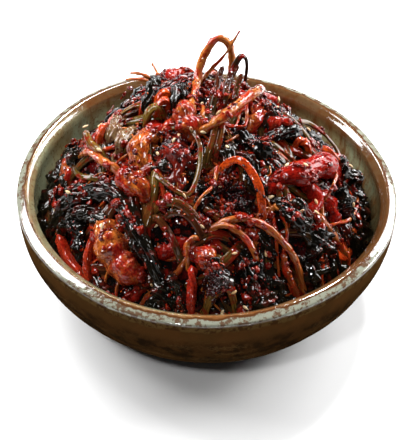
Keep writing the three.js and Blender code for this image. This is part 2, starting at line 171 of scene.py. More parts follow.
outer_wall = wall_curve(RIM_RADIUS, RIM_HEIGHT - 1, BELLY_DROP - 1, FOOT_RADIUS, 0, OUTER_STEPS)
inner_wall = wall_curve(RIM_RADIUS - RIM_WIDTH - 0.6, CREST_HEIGHT - 1.8, BELLY_DROP - 6,
                        FLOOR_RADIUS, FLOOR_HEIGHT, INNER_STEPS)
inner_wall[:, 0] -= LIP_DEPTH * np.exp(-((inner_wall[:, 1] - LIP_HEIGHT) / LIP_REACH) ** 2)
inner_wall = inner_wall[2:]              # the chamfer under the crest takes its place here
crest = RIM_RADIUS - RIM_WIDTH
rim_line = np.array([
    (RIM_RADIUS - 0.15, RIM_HEIGHT - 0.45), (RIM_RADIUS - 0.6, RIM_HEIGHT - 0.05),
    (RIM_RADIUS - 1.2, RIM_HEIGHT + 0.2), (RIM_RADIUS - 2.3, RIM_HEIGHT + 0.6),
    (crest + 1.3, CREST_HEIGHT - 0.55), (crest + 0.4, CREST_HEIGHT - 0.25),
    (crest - 0.4, CREST_HEIGHT - 0.45), (crest - 1.1, CREST_HEIGHT - 1.0),
    (crest - 2.7, CREST_HEIGHT - 2.4), (crest - 3.3, CREST_HEIGHT - 3.2)])
bowl_profile = np.vstack([[(0, 0)], outer_wall[::-1], rim_line, inner_wall, [(0, FLOOR_HEIGHT)]])
crest_row = 1 + len(outer_wall) + 4      # where the flat top comes up to the crest
run = np.concatenate([[0], np.cumsum(np.hypot(*np.diff(bowl_profile, axis=0).T))])
from_crest = run[crest_row] - run        # positive down the outside, negative down the inside


def turn_profile(bm, corners, turns):
    """Joins corners in a line and spins it once round, into a closed shape."""
    for first, second in zip(corners, corners[1:]):
        bm.edges.new((first, second))
    bmesh.ops.spin(bm, geom=bm.verts[:] + bm.edges[:], axis=(0, 0, 1), cent=(0, 0, 0),
                   steps=turns, angle=2 * math.pi, use_merge=True)
    bmesh.ops.remove_doubles(bm, verts=bm.verts[:], dist=1e-6)
    bmesh.ops.recalc_face_normals(bm, faces=bm.faces[:])


bm = bmesh.new()
from_crest_layer = bm.verts.layers.float.new("from_crest")
corners = [bm.verts.new((radius * MM, 0, height * MM)) for radius, height in bowl_profile]
for corner, distance in zip(corners, from_crest):
    corner[from_crest_layer] = distance * MM
turn_profile(bm, corners, BOWL_TURNS)
for vert in bm.verts:
    angle = math.atan2(vert.co.y, vert.co.x)
    height = max(vert.co.z / MM, 0)
    rings = RING_DEPTH * math.sin(height * 1.9) * min(height / 20, 1)
    dents = DENT_DEPTH * noise.noise(vert.co * 45)
    scale = roundness(angle) * (1 + (rings + dents) / RIM_RADIUS)
    vert.co.x *= scale
    vert.co.y *= scale
    vert.co.z += rim_wave(angle) * height / RIM_HEIGHT * MM
bowl = made_from(bm, "glazed_bowl")
bowl.data.shade_smooth()


def paint(red, green, blue):
    """A colour from 0 to 255 as it shows under these lights, where the paper is white."""
    return tuple(PAPER_TONE * ((c / 255 + 0.055) / 1.055) ** 2.4 for c in (red, green, blue))


class Finish:
    """A procedural material: its nodes are added and joined one at a time."""

    def __init__(self, name):
        self.material = bpy.data.materials.new(name)
        self.material.use_nodes = True
        self.nodes = self.material.node_tree.nodes
        self.links = self.material.node_tree.links
        self.shader = self.nodes["Principled BSDF"]
        self.place = self.nodes.new("ShaderNodeTexCoord").outputs["Object"]

    def join(self, source, socket):
        if isinstance(source, (int, float)):
            socket.default_value = source
        elif isinstance(source, tuple):
            socket.default_value = (*source, 1)
        else:
            self.links.new(source, socket)

    def attribute(self, name, output="Fac"):
        node = self.nodes.new("ShaderNodeAttribute")
        node.attribute_name = name
        return node.outputs[output]

    def stretched(self, scale, source=None):
        node = self.nodes.new("ShaderNodeMapping")
        self.join(source or self.place, node.inputs["Vector"])
        node.inputs["Scale"].default_value = scale
        return node.outputs["Vector"]

    def noise(self, scale, detail=3.0, rough=0.55, source=None, twist=0.0):
        node = self.nodes.new("ShaderNodeTexNoise")
        self.join(source or self.place, node.inputs["Vector"])
        node.inputs["Scale"].default_value = scale
        node.inputs["Detail"].default_value = detail
        node.inputs["Roughness"].default_value = rough
        node.inputs["Distortion"].default_value = twist
        return node.outputs["Fac"]

    def cells(self, scale, feature="F1"):
        node = self.nodes.new("ShaderNodeTexVoronoi")
        node.feature = feature
        self.join(self.place, node.inputs["Vector"])
        node.inputs["Scale"].default_value = scale
        return node.outputs["Distance"]

    def ramp(self, source, low, high):
        """0 below low, 1 above high, smooth between."""
        node = self.nodes.new("ShaderNodeMapRange")
        node.interpolation_type = "SMOOTHSTEP"
        self.join(source, node.inputs["Value"])
        node.inputs["From Min"].default_value = low
        node.inputs["From Max"].default_value = high
        return node.outputs["Result"]

    def patches(self, scale, detail, rough, low, high):
        return self.ramp(self.noise(scale, detail, rough), low, high)

    def maths(self, how, a, b=0.0, c=0.0):
        node = self.nodes.new("ShaderNodeMath")
        node.operation = how
        for value, socket in zip((a, b, c), node.inputs):
            self.join(value, socket)
        return node.outputs[0]

    def mix(self, amount, a, b):
        node = self.nodes.new("ShaderNodeMix")
        node.data_type = "RGBA"
        self.join(amount, node.inputs[0])
        self.join(a, node.inputs[6])
        self.join(b, node.inputs[7])
        return node.outputs[2]

    def over(self, mask, amount, under, top):
        """The colour on top where the mask is, by an amount, and the one under it elsewhere."""
        return self.mix(self.maths("MULTIPLY", mask, amount), under, top)

    def bump(self, height, depth, under=None):
        node = self.nodes.new("ShaderNodeBump")
        self.join(height, node.inputs["Height"])
        node.inputs["Distance"].default_value = depth
        node.inputs["Strength"].default_value = 1
        if under:
            self.join(under, node.inputs["Normal"])
        return node.outputs["Normal"]

    def finish(self, colour, roughness, normal, **others):
        self.join(colour, self.shader.inputs["Base Color"])
        self.join(roughness, self.shader.inputs["Roughness"])
        self.join(normal, self.shader.inputs["Normal"])
        for name, value in others.items():
            self.join(value, self.shader.inputs[name.replace("_", " ")])
        return self.material


def glaze_finish():
    """Ash glaze: sage green inside, where it pools, and brown where it ran thin, with painted shade
    darkening the inner wall on the right.
    """
    sage = paint(156, 160, 126)
    olive = paint(150, 134, 92)
    rust = paint(122, 66, 24)
    umber = paint(56, 36, 17)
    dark_umber = paint(32, 21, 11)
    pale_stroke_and_sheen = paint(88, 66, 38)
    rim_grey = paint(138, 140, 124)
    rim_brown = paint(84, 48, 22)
    ash_band_and_sheen = paint(66, 44, 21)
    glaze = Finish("ash_glaze")
    depth = glaze.attribute("from_crest")
    soft = glaze.noise(38, 4, 0.6)
    wobble = glaze.maths("MULTIPLY_ADD", glaze.noise(90, 4, 0.6), 0.005, -0.0025)
    edge = glaze.maths("ADD", depth, wobble)
    runs = glaze.noise(1, 4, 0.6, glaze.stretched((190, 190, 45)))
    specks = glaze.patches(700, 2, 0.5, 0.56, 0.66)
    spots = glaze.patches(330, 3, 0.6, 0.60, 0.68)
    split = glaze.nodes.new("ShaderNodeSeparateXYZ")
    glaze.join(glaze.place, split.inputs["Vector"])
    # painted shade: the inner wall on the right is darkened to a dull olive
    shaded = glaze.maths("MULTIPLY", glaze.ramp(split.outputs["X"], 0.03, 0.08),
                         glaze.ramp(split.outputs["Y"], 0.035, 0.0))
    right = glaze.maths("MAXIMUM", glaze.ramp(split.outputs["X"], -0.04, 0.08),
                        glaze.ramp(split.outputs["Y"], 0.03, 0.075))
    inside = glaze.mix(glaze.ramp(soft, 0.35, 0.65), sage, olive)
    rusty = glaze.maths("MULTIPLY_ADD", right, 0.6, 0.25)
    inside = glaze.over(glaze.ramp(runs, 0.44, 0.66), rusty, inside, rust)
    inside = glaze.over(spots, 0.35, inside, umber)
    inside = glaze.over(specks, 0.6, inside, paint(104, 62, 28))
    inside = glaze.over(shaded, 0.75, inside, paint(84, 64, 34))
    near_rim = glaze.maths("MULTIPLY_ADD", right, 0.010, depth)
    near_rim = glaze.maths("MULTIPLY_ADD", runs, 0.006, near_rim)
    # The thin glaze by the rim is rust; towards the right and the back it is a darker brown, which
    # is painted shade.
    thin_glaze_and_shade = glaze.mix(right, rust, paint(86, 48, 20))
    inside = glaze.over(glaze.ramp(near_rim, -0.0045, 0.0060), 0.85, inside, thin_glaze_and_shade)
    mottle = glaze.patches(300, 5, 0.72, 0.47, 0.57)
    top = glaze.over(mottle, 0.85, rim_grey, rim_brown)
    outer_edge = glaze.mix(mottle, paint(82, 62, 34), umber)
    # Pale arcs on the outside: brush marks in the glaze, and also painted sheen in place of soft
    # reflections, as the outside has no shine.
    arcs = glaze.nodes.new("ShaderNodeTexWave")
    arcs.wave_type = "RINGS"
    arcs.rings_direction = "SPHERICAL"
    glaze.join(glaze.stretched((1, 1, 1.9)), arcs.inputs["Vector"])
    arcs.inputs["Scale"].default_value = 34
    arcs.inputs["Distortion"].default_value = 6
    arcs.inputs["Detail"].default_value = 3
    arcs.inputs["Detail Scale"].default_value = 18
    strokes_and_sheen = glaze.ramp(arcs.outputs["Fac"], 0.55, 0.95)
    strokes_and_sheen = glaze.maths("MULTIPLY", strokes_and_sheen, glaze.ramp(soft, 0.4, 0.6))
    outside = glaze.mix(glaze.patches(120, 4, 0.6, 0.4, 0.62), umber, dark_umber)
    outside = glaze.over(strokes_and_sheen, 0.45, outside, pale_stroke_and_sheen)
    outside = glaze.over(spots, 0.5, outside, dark_umber)
    # A lighter band under the rim: ash in the glaze, and also painted sheen in place of streaky
    # highlights, as the outside has no shine.
    upper = glaze.mix(glaze.patches(75, 4, 0.65, 0.42, 0.6), ash_band_and_sheen, paint(72, 46, 22))
    outside = glaze.mix(glaze.ramp(edge, 0.021, 0.011), outside, upper)
    colour = glaze.mix(glaze.ramp(edge, -0.0012, -0.0004), inside, rim_brown)
    colour = glaze.mix(glaze.ramp(edge, 0.0000, 0.0006), colour, top)
    colour = glaze.mix(glaze.ramp(edge, 0.0038, 0.0044), colour, outer_edge)
    colour = glaze.mix(glaze.ramp(edge, 0.0070, 0.0086), colour, outside)
    crackle = glaze.ramp(glaze.cells(420, "DISTANCE_TO_EDGE"), 0.0, 0.09)
    relief = glaze.bump(crackle, 0.00001)
    relief = glaze.bump(glaze.noise(240, 2, 0.5), 0.00008, relief)
    relief = glaze.bump(runs, 0.00003, relief)
    rough = glaze.maths("MULTIPLY_ADD", glaze.noise(160, 3), 0.05, 0.005)
    rough = glaze.maths("MULTIPLY_ADD", glaze.ramp(edge, 0.0066, 0.010), 0.3, rough)
    lip = glaze.maths("MULTIPLY_ADD", wobble, 0.3, depth)
    shine = glaze.maths("MULTIPLY", glaze.ramp(lip, 0.0052, 0.0038), 0.62)
    return glaze.finish(colour, rough, relief, Specular_IOR_Level=shine)


bowl.data.materials.append(glaze_finish())
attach(bowl, "root")
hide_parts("bowl")


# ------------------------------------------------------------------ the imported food
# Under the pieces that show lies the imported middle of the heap, soaked in red
# paste. It fills the bowl to its wall and has the lumps of what is pressed in it.
# Two hollows at the back leave more of the bowl's inner wall in sight.
PEAK = (0, 26)
HEAP_MIDDLE = (-2, -4)
HEAP_RADIUS = 78
EDGE_HEIGHT = 34
FILL_HEIGHT = 33
FILL_SLOPE = 0.2
PEAK_HEIGHT = 95
HOLLOWS = [(50, 44, 10, 22), (-48, 34, 7, 16)]       # x, y, how deep and how wide
CORE_SUNK = 2.5
CORE_CLEAR = 0.6
CORE_RINGS = 84
CORE_TURNS = 260
CORE_WALL_ROWS = 8


def heap_height(x, y):
    """Height of the heap over a place on the table, all in millimetres."""
    dx, dy = x - PEAK[0], y - PEAK[1]
    kx, ky = HEAP_MIDDLE[0] - PEAK[0], HEAP_MIDDLE[1] - PEAK[1]
    along = dx * kx + dy * ky
    room = HEAP_RADIUS ** 2 - kx * kx - ky * ky
    far = (-along + np.sqrt(along * along + room * (dx * dx + dy * dy))) / room
    rise = np.where(far < 1, (1 - np.minimum(far, 1) ** 2.6) ** 0.75, 2 * (1 - far))
    hollow = sum(depth * np.exp(-((x - hx) ** 2 + (y - hy) ** 2) / (2 * reach ** 2))
                 for hx, hy, depth, reach in HOLLOWS)
    mound = EDGE_HEIGHT + (PEAK_HEIGHT - EDGE_HEIGHT) * rise - hollow
    folds = 2.2 * np.sin(x / 11 + 0.6) * np.cos(y / 13 - 0.4) + 1.4 * np.sin((x + y) / 7.5 + 2)
    return np.maximum(mound, FILL_HEIGHT - FILL_SLOPE * y) + folds


def heap_normal(x, y, step=3.0):
    slope_x = (heap_height(x + step, y) - heap_height(x - step, y)) / (2 * step)
    slope_y = (heap_height(x, y + step) - heap_height(x, y - step)) / (2 * step)
    normal = np.array([-slope_x, -slope_y, 1.0])
    return normal / np.linalg.norm(normal)


def inner_radius(height, angle):
    """Radius of the bowl's inner wall at a height, on one side of the bowl."""
    level = height - rim_wave(angle)
    return np.interp(level, inner_wall[::-1, 1], inner_wall[::-1, 0]) * roundness(angle)


def ridged(place, size, offset=0.0):
    """Creases about size apart: 1 on a crease and falling away beside it."""
    return 1 - 2 * abs(noise.noise(Vector(place) / size + Vector((offset, 0, 0))))


def edge_of_heap(angle):
    """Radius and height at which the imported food's top meets the glaze."""
    low, high = FLOOR_HEIGHT, CREST_HEIGHT
    for _ in range(18):
        height = (low + high) / 2
        radius = inner_radius(height, angle) - CORE_CLEAR
        if heap_height(radius * np.cos(angle), radius * np.sin(angle)) - CORE_SUNK > height:
            low = height
        else:
            high = height
    return radius, height


bm = bmesh.new()
rows = [(i / CORE_RINGS, 1.0) for i in range(CORE_RINGS + 1)]
rows += [(1.0, 1 - (i + 1) / CORE_WALL_ROWS) for i in range(CORE_WALL_ROWS)] + [(0.0, 0.0)]
turn_profile(bm, [bm.verts.new((out, 0, level)) for out, level in rows], CORE_TURNS)
for vert in bm.verts:
    angle = math.atan2(vert.co.y, vert.co.x)
    out = math.hypot(vert.co.x, vert.co.y)
    edge_radius, edge_height = edge_of_heap(angle)
    if vert.co.z > 0.99:
        x, y = out * edge_radius * math.cos(angle), out * edge_radius * math.sin(angle)
        place = Vector((x, y, 0))
        lumps = 1.5 * ridged(place, 9) + 0.8 * ridged(place, 3.4, 5) - 0.5
        height = heap_height(x, y) - CORE_SUNK + lumps * min(4 * (1 - out) + 0.1, 1)
    else:
        height = FLOOR_HEIGHT + CORE_CLEAR + vert.co.z * (edge_height - FLOOR_HEIGHT)
        wall = inner_radius(height, angle) - CORE_CLEAR
        x, y = wall * out * math.cos(angle), wall * out * math.sin(angle)
    vert.co = Vector((x, y, height)) * MM
core = made_from(bm, "packed_food")
core.data.shade_smooth()

SAUCE = paint(128, 14, 9)
DEEP_SAUCE = paint(66, 7, 6)
NEAR_BLACK = paint(12, 8, 7)
FILM_DEPTH = 0.0001         # metres, as every length in a finish is


class WetFinish(Finish):
    """The finish of food that is wet with brine."""

    def facets(self, scale, tilt, source=None):
        """The normal of a film broken up by small bits, each lying its own way."""
        bits = self.nodes.new("ShaderNodeTexVoronoi")
        self.join(self.stretched(scale, source), bits.inputs["Vector"])
        bits.inputs["Scale"].default_value = 1
        lean = self.nodes.new("ShaderNodeVectorMath")
        lean.operation = "MULTIPLY_ADD"
        self.join(bits.outputs["Color"], lean.inputs[0])
        lean.inputs[1].default_value = (tilt,) * 3
        lean.inputs[2].default_value = (-tilt / 2,) * 3
        leaning = self.nodes.new("ShaderNodeVectorMath")
        self.join(self.nodes.new("ShaderNodeNewGeometry").outputs["Normal"], leaning.inputs[0])
        self.join(lean.outputs[0], leaning.inputs[1])
        unit = self.nodes.new("ShaderNodeVectorMath")
        unit.operation = "NORMALIZE"
        self.join(leaning.outputs[0], unit.inputs[0])
        return unit.outputs[0]

    def wet(self, colour, relief, facets, level=1.0):
        """Soft colour under a film of brine, broken up by what is in it, which shines."""
        beads = self.bump(self.noise(500, 1, 0.5), FILM_DEPTH, facets)
        return self.finish(colour, 0.5, relief, Specular_IOR_Level=0.0, Coat_Weight=level,
                           Coat_Roughness=0.03, Coat_IOR=1.4, Coat_Normal=beads)


def paste_finish():
    """Chilli paste with leaf scraps in it, dark red with near-black patches that are also painted
    shade for the gaps between the pieces.
    """
    paste = WetFinish("soaked_paste")
    # The near-black patches are leaf scraps in the paste and also painted shade for the gaps
    # between the pieces.
    dark = paste.mix(paste.patches(160, 4, 0.6, 0.46, 0.62), NEAR_BLACK, DEEP_SAUCE)
    colour = paste.mix(paste.patches(420, 3, 0.6, 0.60, 0.7), dark, SAUCE)
    relief = paste.bump(paste.noise(700, 4, 0.6), 0.0007)
    return paste.wet(colour, relief, paste.facets((650,) * 3, 0.6), 0.6)


core.data.materials.append(paste_finish())
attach(core, "root")
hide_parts("kimchi")


# ------------------------------------------------------------------ the roots
# Whole bitter lettuce roots, tan to orange under the red sauce, knobbly and as
# thick as a pencil at most. Each is laid over the heap along its own way, with
# its ends tucked in unless they lift off the heap by FREE_LIFT or more.
FREE_LIFT = 5
TUCK = 1
TUCK_FROM = 0.4             # of the way from the middle to an end
UP_KEPT, UP_NEW = 0.85, 0.15
OVER_RIM = CREST_HEIGHT + 6
ROOT_BAR = (12, 44)         # sides and steps
# Each row has the widths at the start, the middle and the end, the way it runs as
# x, y and lift over the heap, and how much darker it is than the palest one.
ROOTS = [
    ((3.6, 3.9, 3.2), [(-11, 5, 3), (-9, 20, 5), (-8, 32, 4), (-6, 38, 11), (0, 42, 21),
                       (6, 43, 20), (8, 41, 12), (7, 35, 2)], 0.0),
    ((4, 4.8, 4.2), [(-8, -3, 3), (-2, -7, 6), (5, -4, 8), (13, 9, 8), (20, 21, 6), (22, 31, 5),
                     (17, 34, 3)], 0.25),
    ((2.5, 3.6, 4.3), [(-62, 3, 3), (-50, -14, 5), (-39, -23, 3)], 0.4),
    ((3, 3.5, 2.4), [(-1, -50, 3), (18, -46, 6), (36, -52, 5), (46, -59, 3)], 0.65),
    ((2.8, 3.3, 2.8), [(34, -51, 4), (36, -58, 4), (43, -62, 2)], 1.0),
    ((2.4, 2.9, 2.2), [(0, -49, 3), (14, -52, 5), (25, -60, 3)], 0.55),
    ((2.2, 2.4, 2), [(-3, -53, 2), (-9, -57, 4), (-8, -62, 2)], 0.4),
    ((4, 3.6, 2.4), [(44, -31, 3), (52, -35, 5), (60, -35, 4), (66, -34, 2)], 0.7),
    ((3.4, 4, 3), [(-44, 46, 1), (-30, 60, 4), (-12, 68, 5), (4, 66, 2)], 0.3),
    ((3, 3.6, 2.6), [(12, 57, 2), (24, 65, 5), (38, 60, 4), (48, 48, 1)], 0.2),
    ((2.8, 3.2, 2.4), [(-4, 54, 2), (2, 62, 5), (4, 72, 3)], 0.6),
]
# More of each kind are strewn: how many, and the ranges of width, half length and lift.
STREWN_ROOTS = {"count": 46, "width": (2.0, 3.6), "half": (10, 20), "lift": (-1.0, 1.0)}
STREWN_FROM = 20            # the first strewn piece's number
GRAIN_STEP = 97             # each number's grain starts this much further on
STREWN_REACH = 0.97         # as a part of the heap's radius
STREWN_SINK = 2.2
LOW_SPOTS = [(-18, 30), (36, 32)]
LOW_REACH = 22
LOW_SINK = 4.5
BACK_FROM, BACK_TO = 20, 60
BACK_RUN = 14               # between those two, the way back for each 1 mm lower


def route_point(path, t):
    """A smooth curve through the points of a path, at t from 0 to 1."""
    last = len(path) - 1
    start = min(int(t * last), last - 1)
    w = t * last - start
    here, there = path[start], path[start + 1]
    before = path[start - 1] if start > 0 else 2 * path[0] - path[1]
    after = path[start + 2] if start + 2 <= last else 2 * path[last] - path[last - 1]
    leave, arrive = (there - before) / 2, (after - here) / 2
    return ((2 * here - 2 * there + leave + arrive) * w ** 3
            + (3 * there - 3 * here - 2 * leave - arrive) * w ** 2 + leave * w + here)


def inside_bowl(place, margin):
    """Draws a place in from the bowl's wall, unless it is above the rim."""
    angle = math.atan2(place[1], place[0])
    most = inner_radius(place[2], angle) - margin
    radius = math.hypot(place[0], place[1])
    if place[2] < OVER_RIM and radius > most:
        place[:2] *= most / radius


def lay_out(path, steps, margin):
    """Places along a piece, and which way is up and sideways at each of them."""
    path = np.array(path, float)
    end_lifts = (path[0][2], path[-1][2])
    tucks = [lift + CORE_SUNK + TUCK if lift < FREE_LIFT else 0 for lift in end_lifts]
    places = []
    for i in range(steps + 1):
        place = route_point(path, i / steps)
        to_end = max(abs(2 * i / steps - 1) - TUCK_FROM, 0) / (1 - TUCK_FROM)
        place[2] += heap_height(place[0], place[1]) - tucks[0 if 2 * i < steps else 1] * to_end ** 2
        inside_bowl(place, margin)
        places.append(place)
    ups, sides = [], []
    up = heap_normal(places[0][0], places[0][1])
    for i in range(steps + 1):
        ahead = places[min(i + 1, steps)] - places[max(i - 1, 0)]
        ahead /= np.linalg.norm(ahead)
        up = UP_KEPT * up + UP_NEW * heap_normal(places[i][0], places[i][1])
        up = up - up.dot(ahead) * ahead
        up /= np.linalg.norm(up)
        ups.append(up)
        sides.append(np.cross(ahead, up))
    return np.array(places), np.array(ups), np.array(sides)


def width_at(widths, t):
    """The width at t from 0 to 1, smooth through those at the start, middle and end."""
    start, middle, end = widths
    return start * (1 - t) * (1 - 2 * t) + 4 * middle * t * (1 - t) + end * t * (2 * t - 1)


def pattern_of(bm):
    """The corners and faces of a small shape that is repeated many times."""
    bm.verts.index_update()
    corners = np.array([vert.co[:] for vert in bm.verts])
    faces = [[vert.index for vert in reversed(face.verts)] for face in bm.faces]
    bm.free()
    return corners, faces


def long_edges(bm):
    """The edges that run along Z from end to end."""
    return [edge for edge in bm.edges if abs(edge.verts[0].co.z - edge.verts[1].co.z) > 0.5]


def round_bar(sides, steps):
    """A bar of radius 1 along Z from 0 to 1, cut into steps."""
    bm = bmesh.new()
    bmesh.ops.create_cone(bm, cap_ends=True, cap_tris=True, segments=sides, radius1=1,
                          radius2=1, depth=1, matrix=Matrix.Translation((0, 0, 0.5)))
    bmesh.ops.subdivide_edges(bm, edges=long_edges(bm), cuts=steps - 1)
    return pattern_of(bm)


class Joined:
    """Pieces of one kind, joined in one mesh. Each keeps a tone of its own and its grain."""

    def __init__(self, name):
        self.name, self.count = name, 0
        self.corners, self.faces, self.tones, self.grain = [], [], [], []

    def add(self, corners, faces, tone, grain):
        self.corners.append(corners)
        self.faces += [[corner + self.count for corner in face] for face in faces]
        self.tones.append(np.full(len(corners), tone))
        self.grain.append(grain)
        self.count += len(corners)

    def drape(self, pattern, path, widths, section, tone, number):
        """Bends a pattern over the heap: section gives how far across and how high."""
        corners, faces = pattern
        steps = int(round(1 / np.min(np.diff(np.unique(np.round(corners[:, 2], 5))))))
        places, ups, sides = lay_out(path, steps, max(widths) / 2)
        row = np.round(corners[:, 2] * steps).astype(int)
        length = np.concatenate([[0], np.cumsum(np.linalg.norm(np.diff(places, axis=0), axis=1))])
        across, high = section(corners, length[row], length[-1])
        bent = places[row] + across[:, None] * sides[row] + high[:, None] * ups[row]
        grain = np.stack([across, high, length[row]], 1) + number * GRAIN_STEP
        self.add(bent, faces, tone, grain)

    def build(self, finish):
        mesh = bpy.data.meshes.new(self.name)
        mesh.from_pydata((np.vstack(self.corners) * MM).tolist(), [], self.faces)
        tone = mesh.attributes.new("tone", "FLOAT", "POINT")
        tone.data.foreach_set("value", np.concatenate(self.tones).astype(np.float32))
        grain = mesh.attributes.new("grain", "FLOAT_VECTOR", "POINT")
        grain.data.foreach_set("vector", (np.vstack(self.grain) * MM).astype(np.float32).ravel())
        mesh.shade_smooth()
        mesh.materials.append(finish)
        made = bpy.data.objects.new(self.name, mesh)
        scene.collection.objects.link(made)
        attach(made, "root")
        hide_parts("kimchi")


def strewn_path(dice, half_range, lift, bow=0.35):
    """A gently bowed path anywhere on the heap, lower at its back and beside its peak."""
    angle = dice.uniform(0, 2 * math.pi)
    out = math.sqrt(dice.uniform(0, 1)) * STREWN_REACH
    x = HEAP_MIDDLE[0] + HEAP_RADIUS * out * math.cos(angle)
    y = HEAP_MIDDLE[1] + HEAP_RADIUS * out * math.sin(angle)
    turn = angle + dice.gauss(0, 0.9) + dice.choice((0, math.pi / 3, -math.pi / 3))
    half = dice.uniform(*half_range)
    ux, uy = half * math.cos(turn), half * math.sin(turn)
    sway, second = dice.uniform(-bow, bow), dice.uniform(-bow, bow)
    low = any(math.hypot(x - low_x, y - low_y) < LOW_REACH for low_x, low_y in LOW_SPOTS)
    lift -= LOW_SINK if low else STREWN_SINK
    lift -= max(y - BACK_FROM, 0) / BACK_RUN if y < BACK_TO else 0
    return [(x - ux, y - uy, lift - 1),
            (x - ux / 3 - uy * sway, y - uy / 3 + ux * sway, lift + dice.uniform(0, 2)),
            (x + ux / 3 - uy * second, y + uy / 3 + ux * second, lift + dice.uniform(0, 2)),
            (x + ux, y + uy, lift - 1)]


def knobbly(widths, phase, lumps=0.16, flat=1.0):
    """The section of a root: round, uneven, closed to a blunt tip at both ends."""
    def section(corners, run, length):
        t = run / length
        half = width_at(widths, t) / 2
        half *= 1 + 0.1 * np.sin(19 * t + phase) + lumps * 0.5 * np.sin(run * 1.1 + 2 * phase)
        turn = np.arctan2(corners[:, 1], corners[:, 0])
        half *= 1 + lumps * 0.6 * np.sin(2 * turn + run * 0.35 + phase)
        half *= 1 + lumps * 0.35 * np.sin(3 * turn - run * 0.8 + 3 * phase)
        to_tip = np.minimum(run, length - run) / np.maximum(half, 0.1)
        half *= np.sqrt(np.clip(1 - (1 - np.minimum(to_tip, 1)) ** 2, 0.02, 1))
        return corners[:, 0] * half, corners[:, 1] * half * flat
    return section


class PieceFinish(WetFinish):
    """The finish of joined pieces, which knows each one's tone and the way it runs."""

    def __init__(self, name):
        super().__init__(name)
        self.tone = self.attribute("tone")
        self.grain = self.attribute("grain", "Vector")

    def fibres(self, scale, detail=3, twist=0.0):
        return self.noise(1, detail, 0.6, self.stretched(scale, self.grain), twist)


def root_finish():
    """Tan root flesh, orange in the middle, under patches of thin red sauce."""
    root = PieceFinish("sauced_root")
    streaks = root.fibres((900, 900, 120))
    flesh = root.mix(root.ramp(streaks, 0.35, 0.65), paint(154, 78, 28), paint(212, 130, 58))
    old_flesh = root.mix(root.ramp(streaks, 0.3, 0.7), paint(92, 30, 12), paint(146, 66, 26))
    flesh = root.mix(root.tone, flesh, old_flesh)
    thin = root.patches(130, 4, 0.62, 0.43, 0.60)
    colour = root.over(thin, 0.85, flesh, paint(168, 34, 15))
    thick = root.patches(240, 4, 0.65, 0.55, 0.66)
    colour = root.over(thick, 0.9, colour, SAUCE)
    relief = root.bump(streaks, 0.0003)
    relief = root.bump(root.noise(620, 3, 0.6), 0.0003, relief)
    return root.wet(colour, relief, root.facets((800, 800, 400), 0.5, root.grain))


root_bar = round_bar(*ROOT_BAR)
roots = Joined("roots")
for index, (widths, path, tone) in enumerate(ROOTS):
    roots.drape(root_bar, path, widths, knobbly(widths, 1.7 * index), tone, index)
dice = random.Random(41)
for index in range(STREWN_ROOTS["count"]):
    width = dice.uniform(*STREWN_ROOTS["width"])
    widths = (width * 0.8, width, width * dice.uniform(0.5, 0.9))
    path = strewn_path(dice, STREWN_ROOTS["half"], dice.uniform(*STREWN_ROOTS["lift"]))
    tone = dice.uniform(0.4, 1)
    roots.drape(root_bar, path, widths, knobbly(widths, index), tone, STREWN_FROM + index)
root_dress = root_finish()
roots.build(root_dress)


# ------------------------------------------------------------------ the crowns
# Where the leaves grew out of a root it is fat and lumpy. These chunks hold the
# most sauce, so they are the reddest, with orange flesh where it has slid off.
CROWN_BAR = (28, 40)        # sides and steps
SMALL_CROWN_BAR = (16, 20)
# Each row has the widths, the way it runs, how thick the sauce lies, and how lumpy.
CROWNS = [
    ((7, 11, 8), [(-14, 11, 3), (-13, 2, 5), (-9, -6, 3)], 0.3, 0.8),
    ((5, 7, 5), [(17, 1, 0), (21, 10, 1.5), (25, 20, 0.5)], 0.35, 0.8),
    ((4, 5, 3), [(-26, 21, 1), (-22, 24, 2), (-18, 26, 1)], 0.7, 1.0),
    ((5, 6, 4), [(26, 4, 2), (31, 8, 4), (37, 9, 3)], 0.6, 1.0),
    ((7, 10, 7), [(-32, -24, 2), (-33, -12, 4), (-25, 0, 3)], 0.1, 0.35),
    ((7, 11, 6), [(-40, -23, 2), (-34, -31, 4), (-27, -37, 2)], 0.45, 0.8),
    ((10, 15, 8), [(-49, -38, 1), (-43, -52, 2), (-36, -61, 2), (-27, -63, 0)], 0.25, 0.65),
    ((7, 12, 6), [(27, -24, 2), (41, -19, 5), (52, -8, 5), (61, 4, 2)], 1.0, 0.2),
    ((8, 7, 5), [(43, -18, 3), (49, -26, 3), (45, -34, 2)], 1.0, 0.4),
    ((6, 8.5, 5), [(-4, -58, 2), (2, -64, 4), (7, -69, 2)], 0.2, 0.9),
    ((7, 11, 6), [(-28, 54, 1), (-20, 60, 3), (-10, 60, 1)], 0.3, 0.8),
    ((6, 9, 5), [(22, 54, 1), (28, 60, 3), (26, 68, 1)], 0.6, 0.8),
]
STREWN_CROWNS = {"count": 22, "width": (5, 8.5), "half": (5, 11), "lift": (-1.5, 0.5)}


def lumpy(widths, offset, lumps=1.0):
    """The section of a crown: fat, with knobs and creases all over."""
    plain = knobbly(widths, offset, 0.2 * lumps, 0.85)

    def section(corners, run, length):
        across, high = plain(corners, run, length)
        swell = np.array([1.5 * noise.noise(Vector((a + 9 * offset, h, r * 0.6)) / 5.5)
                          + 0.6 * noise.noise(Vector((a, h - 9 * offset, r * 0.7)) / 2.2)
                          for a, h, r in zip(across, high, run)])
        scale = 1 + lumps * swell / np.maximum(np.hypot(across, high), 2.0)
        return across * scale, high * scale
    return section


